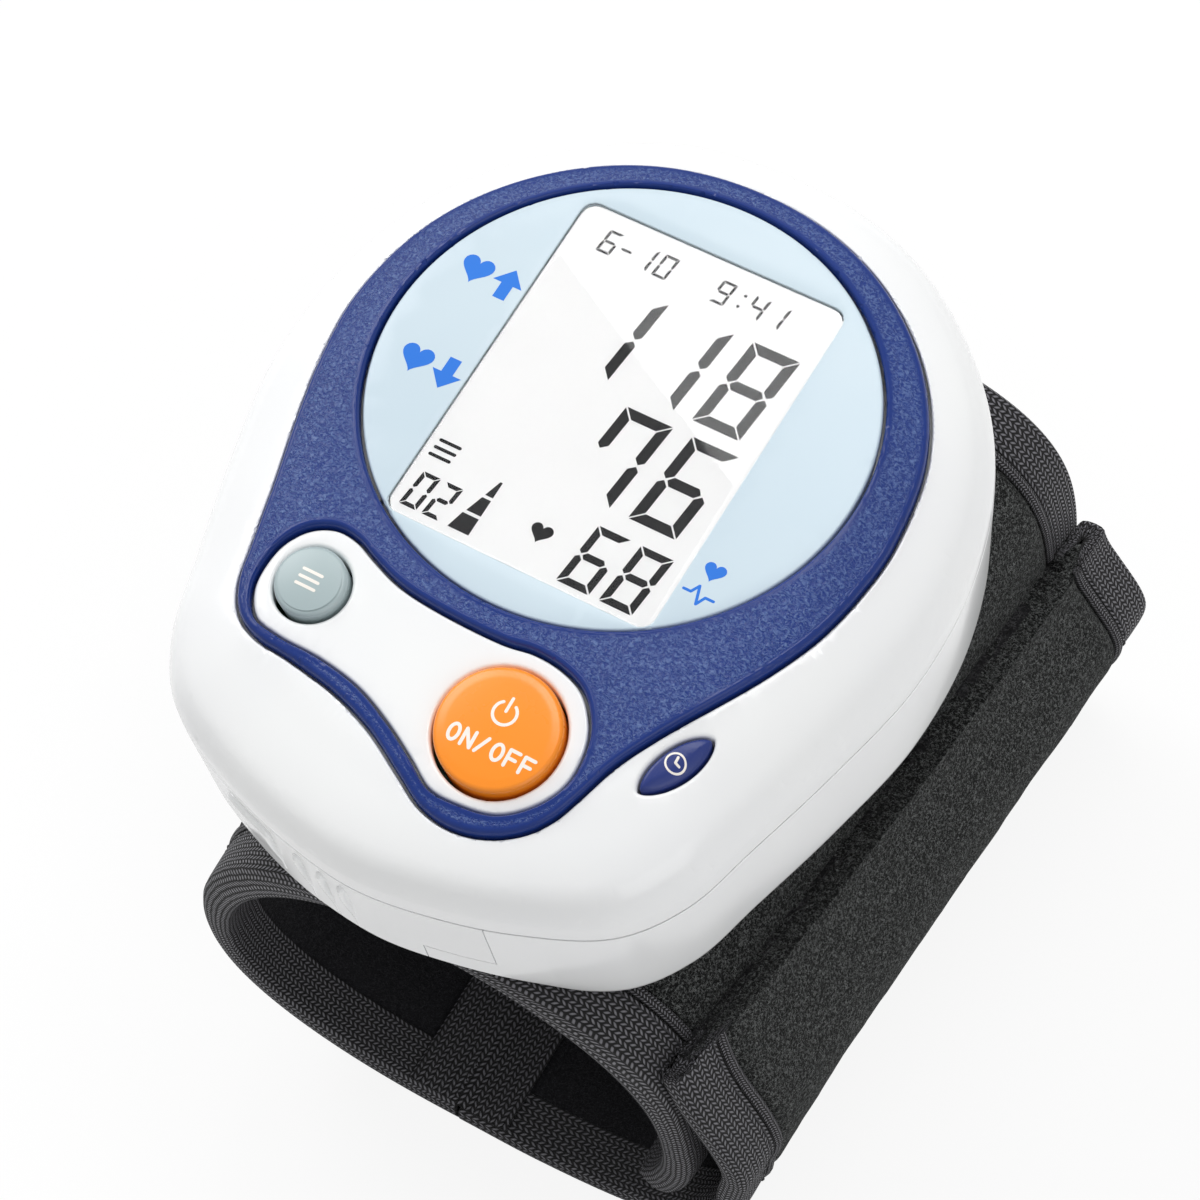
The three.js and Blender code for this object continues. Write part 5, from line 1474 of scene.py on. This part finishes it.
def cloth(place, span, low_edge, margin, outer, inner, swell=0.0, steps=(120, 44), end=None):
    """A layer of cloth between two depths, each (share, proud). Beside the ridges along its edges
    it rises by its swell. An end of (reach, share, proud) is rounded over to that depth."""
    along = np.linspace(span[0], span[1], steps[0])
    if end:
        close = span[1] - end[0] * (1 - np.sin(np.linspace(0.1, 1.53, 14)))
        along = np.concatenate([np.linspace(span[0], span[1] - end[0], steps[0]), close])
    low_v, high_v = low_edge(along) + margin, np.full(len(along), HAND_END - margin)
    near = np.array([0, 2, 3.6, 4.05, 4.15, 4.35, 4.65, 5.05, 5.6, 6.4, 7.6])
    middle = np.linspace(0, 1, steps[1])[1:-1]
    between = (high_v - low_v - 2 * near[-1])[:, None] * middle
    v = np.column_stack([
        low_v[:, None] + near, low_v[:, None] + near[-1] + between, high_v[:, None] - near[::-1]])
    u = np.repeat(along[:, None], v.shape[1], 1)
    edge = np.minimum(v - v[:, :1], v[:, -1:] - v)
    if not end:
        edge = np.minimum(edge, np.minimum(u - span[0] + 30, span[1] - u))
    shoulder = np.sqrt(1 - np.clip(1 - (edge - 4.1) / 1.6, 0, 1) ** 2)
    puff = swell * shoulder + (ripple(u, v) + lean(u, v)) * ease((edge - 4) / 5) * (swell > 0)
    closing = rounded_end(u, span[1], end[0]) if end else np.ones(u.shape)
    target = end[1:] if end else (0, 0)
    layers = []
    for (share, proud), extra in ((outer, puff), (inner, np.full(u.shape, -0.1 if end else 0.0))):
        shares = target[0] + (share - target[0]) * closing
        prouds = target[1] + (proud + extra - target[1]) * closing
        prouds = prouds + np.minimum(extra, 0) * (1 - closing)
        layers.append(place(u.ravel(), v.ravel(), shares.ravel(), prouds.ravel()))
    return slab(*layers, *v.shape)


def lean(u, v):
    """Small unevenness of the pile, in millimetres."""
    return 0.05 * np.sin(u * 1.7 + 2.1 * np.sin(v * 0.9)) * np.sin(v * 1.9 + 1.3 * np.sin(u * 0.8))


def slab(top, base, rows, columns):
    """A closed solid between two grids of places."""
    size = rows * columns
    faces = []
    for k in range(rows - 1):
        for i in range(columns - 1):
            a, d = k * columns + i, (k + 1) * columns + i
            b, c = a + 1, d + 1
            faces += [(a, b, c, d), (size + d, size + c, size + b, size + a)]
    loop = [*range(columns)] + [k * columns + columns - 1 for k in range(1, rows)]
    loop += [(rows - 1) * columns + i for i in range(columns - 2, -1, -1)]
    loop += [k * columns for k in range(rows - 2, 0, -1)]
    for a, b in zip(loop, loop[1:] + loop[:1]):
        faces.append((b, a, size + a, size + b))
    return np.vstack([top, base]), faces


def turned_out(piece):
    """Makes every face of a closed mesh look outwards."""
    work = bmesh.new()
    work.from_mesh(piece.data)
    bmesh.ops.recalc_face_normals(work, faces=work.faces)
    work.to_mesh(piece.data)
    work.free()
    return piece


def sewn(name, places, faces, slot, body, replaces=(), thread=None, sharp=50):
    marks = None if thread is None else {"thread": thread}
    return turned_out(make(name, places, faces, FINISHES[slot], body, slot, replaces, sharp, marks))


def edging(name, place, line, proud, body, replaces, blunt_at=None):
    """A band's binding: the tape round its edge, the piped ridge beside it and its stitches."""
    places, faces, thread = swept(place, line, tape_profile(TAPE_WIDTH, proud), blunt_at)
    tape = sewn(name + "_tape", places, faces, "woven_tape", body, replaces, thread)
    profile = ridge_profile(TAPE_WIDTH + RIDGE_INSET, *RIDGE_HALF, proud - 0.08)
    places, faces, thread = swept(place, line[line[:, 0] > FOLD_ROOM], profile, blunt_at)
    ridge = sewn(name + "_ridge", places, faces, "woven_tape", body, (), thread * np.array([1.7, 1.3, 0]))
    places, faces = stitches(place, line, TAPE_WIDTH - STITCH_INSET, proud)
    row = make(name + "_stitches", places, faces, THREAD, body, "woven_tape", (), 60)
    return [tape, ridge, turned_out(row)]


def cuff():
    line = border(CUFF_LENGTH, cuff_low, 2.0)
    bound = ["cuff_binding_arm", "cuff_binding_hand"]
    trims = edging("cuff_edge", cuff_place, line, 0.12, "housing", bound)
    span = (0.0, CUFF_LENGTH - 3)
    outside = cloth(cuff_place, span, cuff_low, 3, (0, -0.38), (0, -0.72), 0.85, (220, 44))
    fabric = sewn("cuff_loop_fabric", *outside, "loop_fabric", "housing", ["cuff_cover"])
    inner = cloth(cuff_place, span, cuff_low, 3, (1, 0.6), (1, 0.08), 0, (190, 30))
    lining = sewn("cuff_lining_fabric", *inner, "lining_fabric", "housing", ["cuff_lining"])


def bladder():
    """The air bladder: two films welded round their rim, with a little air between."""
    rows, columns, depth = 110, 48, 0.64
    turns = np.linspace(-20, 200, rows)
    width = np.linspace(ARM_END + 2.2, HAND_END - 2.2, columns)
    u = np.repeat(np.interp(-turns[:, None], -CUFF_TURNS, CUFF_RUN), columns, 1)
    v = np.repeat(width[None], rows, 0)
    ends = np.minimum(abs(u - u[0, 0]), abs(u - u[-1, 0]))
    edge = np.minimum(np.minimum(v - width[0], width[-1] - v), ends)
    full = (0.14 * ease((edge - 3) / 8) + 0.03).ravel()
    u, v, share = u.ravel(), v.ravel(), np.full(u.size, depth)
    films = slab(cuff_place(u, v, share, full), cuff_place(u, v, share, -full), rows, columns)
    piece = sewn("air_bladder_film", *films, "bladder", "housing", ["air_bladder"])


def strap():
    trims = []
    for side in ("arm", "hand"):
        line = strap_edge(side == "hand")
        trims += edging("strap_edge_" + side, tail_place, line, 0.0, "strap",
                        ["strap_binding_" + side], STRAP_LENGTH)
    span, hook_at = (0.0, STRAP_LENGTH), HOOK_START * TAIL_LENGTH
    outside = cloth(
        tail_place, span, tail_low, 3, (0, -0.5), (0, -1.5), 0.85, (150, 44), end=(2.8, 1, 0))
    fabric = sewn("strap_loop_fabric", *outside, "loop_fabric", "strap", ["strap_cover"])
    inner = cloth(tail_place, (0.0, hook_at), tail_low, 3, (1, 1.1), (1, 0.05), 0, (90, 30))
    lining = sewn("strap_lining_fabric", *inner, "lining_fabric", "strap", ["strap_lining"])
    span = (hook_at + GAP, STRAP_LENGTH - 2.6)
    field = cloth(
        tail_place, span, tail_low, 3, (1, 1.2), (1, 0), 0, (40, 30), end=(1.4, 1, 0.3))
    hooks = sewn("strap_hook_field", *field, "hook_tape", "strap", ["hook_pad"])


def hinge_tape(name, heights, side):
    """A tape across the fold where the strap leaves the cuff, outside or inside. The heights are
    those of the layers it lies on, from the cuff to the strap."""
    rows, columns = 26, 60
    start, end = HINGE_TAPE_REACH
    x = np.repeat(np.linspace(start, end, rows)[:, None], columns, 1)
    y = np.repeat(np.linspace(ARM_END + GAP, HAND_END - GAP, columns)[None], rows, 0)
    level = np.interp(x, [start, -0.8, 1.1, end], heights)
    inset = np.minimum(np.minimum(x - start, end - x), np.minimum(y - y[0, 0], y[0, -1] - y))
    tops = level + side * (0.2 + 0.22 * ease(inset / 0.5)), level + side * 0.02
    x, y = x.ravel(), y.ravel()
    places, faces = slab(*(np.column_stack([x, y, z.ravel()]) for z in tops), rows, columns)
    thread = np.tile(np.column_stack([y, x, 0 * x]), (2, 1))
    piece = make(name, places, faces, FINISHES["woven_tape"], None, "woven_tape", (), 50,
                 {"thread": thread})
    turned_out(piece)
    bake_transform(piece)


def hinge():
    outer = [float(section(COVER, np.array([258.0]))[0, 1]), -COVER_BOTTOM, -COVER_BOTTOM, -COVER_BOTTOM]
    hinge_tape("hinge_tape_outer", outer, -1)
    bore = [float(section(BORE, np.array([turn]))[0, 1]) for turn in (257.0, 268.0)]
    hinge_tape("hinge_tape_inner", [*bore, TAIL_THICKNESS - COVER_BOTTOM, TAIL_THICKNESS - COVER_BOTTOM], 1)


# Nodes that keep their own shape
KEPT = {
    "display_frame": "white_shell",
    "display_reflector": "screen_back", "contact_strip": "grey_rubber", "main_board": "green_board",
    "start_switch": "steel", "memory_switch": "steel", "clock_switch": "steel",
    "start_plunger": "black_plastic", "memory_plunger": "black_plastic", "clock_plunger": "black_plastic",
    "battery_holder": "white_shell", "battery_outer": "cell_jacket", "battery_inner": "cell_jacket",
    "battery_spring_outer": "steel", "battery_spring_inner": "steel", "battery_plate_outer": "steel",
    "battery_plate_inner": "steel", "pump_motor": "steel", "motor_rotor": "steel",
    "pump_head": "black_plastic", "valve_body": "steel", "valve_plunger": "steel",
    "pressure_sensor": "black_plastic", "air_junction": "black_plastic", "air_nipple": "black_plastic",
    "air_tube_pump": "air_tube", "air_tube_sensor": "air_tube", "air_tube_valve": "air_tube",
    "buzzer": "black_plastic", "cuff_stiffener": "stiffener",
}


def dress_nodes():
    for name, node in NODES.items():
        slot = "steel" if "screw" in name or "rivet" in name else KEPT.get(name)
        if slot is None:
            continue
        node.data.materials.clear()
        node.data.materials.append(FINISHES[slot])


# Camera, lights and floor. The camera is given by its place and by the ways to its right and
# back, in metres.
CAMERA_PLACE = (0.1288, -0.1571, 0.3901)
CAMERA_RIGHT, CAMERA_BACK = (0.858, 0.505, -0.097), (0.311, -0.359, 0.880)
SKY, FLOOR_GLOW, FLOOR_DROP = 0.42, 0.88, 0.0002


def camera():
    data = bpy.data.cameras.new("camera")
    data.lens, data.sensor_width = 120.0, 36.0
    data.clip_start, data.clip_end = 0.01, 20.0
    right, back = Vector(CAMERA_RIGHT), Vector(CAMERA_BACK)
    back.normalize()
    right = (right - back * right.dot(back)).normalized()
    up = back.cross(right)
    made = bpy.data.objects.new("camera", data)
    turn = Matrix((right, up, back)).transposed().to_4x4()
    made.matrix_world = Matrix.Translation(CAMERA_PLACE) @ turn
    bpy.context.scene.collection.objects.link(made)
    bpy.context.scene.camera = made


def lamp(name, place, turn, size, power):
    """A soft lamp that looks straight down, turned by some degrees, or else at the object."""
    data = bpy.data.lights.new(name, "AREA")
    data.shape, data.size, data.size_y, data.energy = "RECTANGLE", size[0], size[1], power
    made = bpy.data.objects.new(name, data)
    made.location = place
    made.rotation_mode = "QUATERNION"
    if turn is None:
        made.rotation_quaternion = (-Vector(place)).to_track_quat("-Z", "Y")
    else:
        made.rotation_quaternion = Matrix.Rotation(math.radians(turn), 4, "Z").to_quaternion()
    bpy.context.scene.collection.objects.link(made)


def lights():
    """Three soft lamps, and a world that is plain white where it is seen or mirrored."""
    lamp("strip_light", (-0.07, 0.505, 1.1), -27.8, (1.2, 0.3), 6.4)
    lamp("softbox", (-0.95, 0.35, 0.95), None, (0.7, 0.7), 8.4)
    lamp("side_fill", (1.0, -0.5, 0.5), None, (0.8, 0.8), 2.6)
    world = bpy.data.worlds.new("studio")
    bpy.context.scene.world = world
    world.use_nodes = True
    world.node_tree.nodes.clear()
    w = Wiring(world.node_tree)
    path = w.node("LightPath").outputs
    mirrored = w.math("MAXIMUM", path["Is Glossy Ray"], path["Is Transmission Ray"])
    seen = w.math("MAXIMUM", path["Is Camera Ray"], mirrored)
    plain = w.node("Background", {"Color": (1, 1, 1, 1), "Strength": SKY})
    white = w.node("Background", {"Color": (1, 1, 1, 1), "Strength": 1.0})
    both = w.node("MixShader", {0: seen, 1: plain.outputs[0], 2: white.outputs[0]})
    w.node("OutputWorld", {"Surface": both.outputs[0]})


def floor():
    """A pale floor just under the part, which glows a little where the camera sees it."""
    material, w, shader = begin("pale_floor", Roughness=0.9, Specular_IOR_Level=0.1)
    tone = w.ramp(w.noise(in_millimetres(w), 0.01, 2.0), 0.3, 0.7)
    w.join(w.blend(tone, (0.96, 0.96, 0.96, 1), (0.97, 0.97, 0.97, 1)), shader.inputs["Base Color"])
    glow = w.node("Emission", {"Color": (1, 1, 1, 1), "Strength": 1.0})
    seen = w.math("MULTIPLY", w.node("LightPath").outputs["Is Camera Ray"], FLOOR_GLOW)
    both = w.node("MixShader", {0: seen, 1: shader.outputs[0], 2: glow.outputs[0]})
    w.join(both.outputs[0], w.tree.nodes["Material Output"].inputs["Surface"])
    mesh = bpy.data.meshes.new("floor")
    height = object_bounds()[0].z - FLOOR_DROP
    corners = [(-3, -3, height), (3, -3, height), (3, 3, height), (-3, 3, height)]
    mesh.from_pydata(corners, [], [(0, 1, 2, 3)])
    mesh.materials.append(material)
    made = bpy.data.objects.new("floor", mesh)
    bpy.context.scene.collection.objects.link(made)
    made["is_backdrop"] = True


camera()
front_shell()
bezel()
face_panel()
panel_print()
screen()
keys()
rear_shell()
battery_cover()
cuff()
bladder()
strap()
hinge()
dress_nodes()
lights()
floor()
bpy.context.scene.view_settings.view_transform = "Standard"
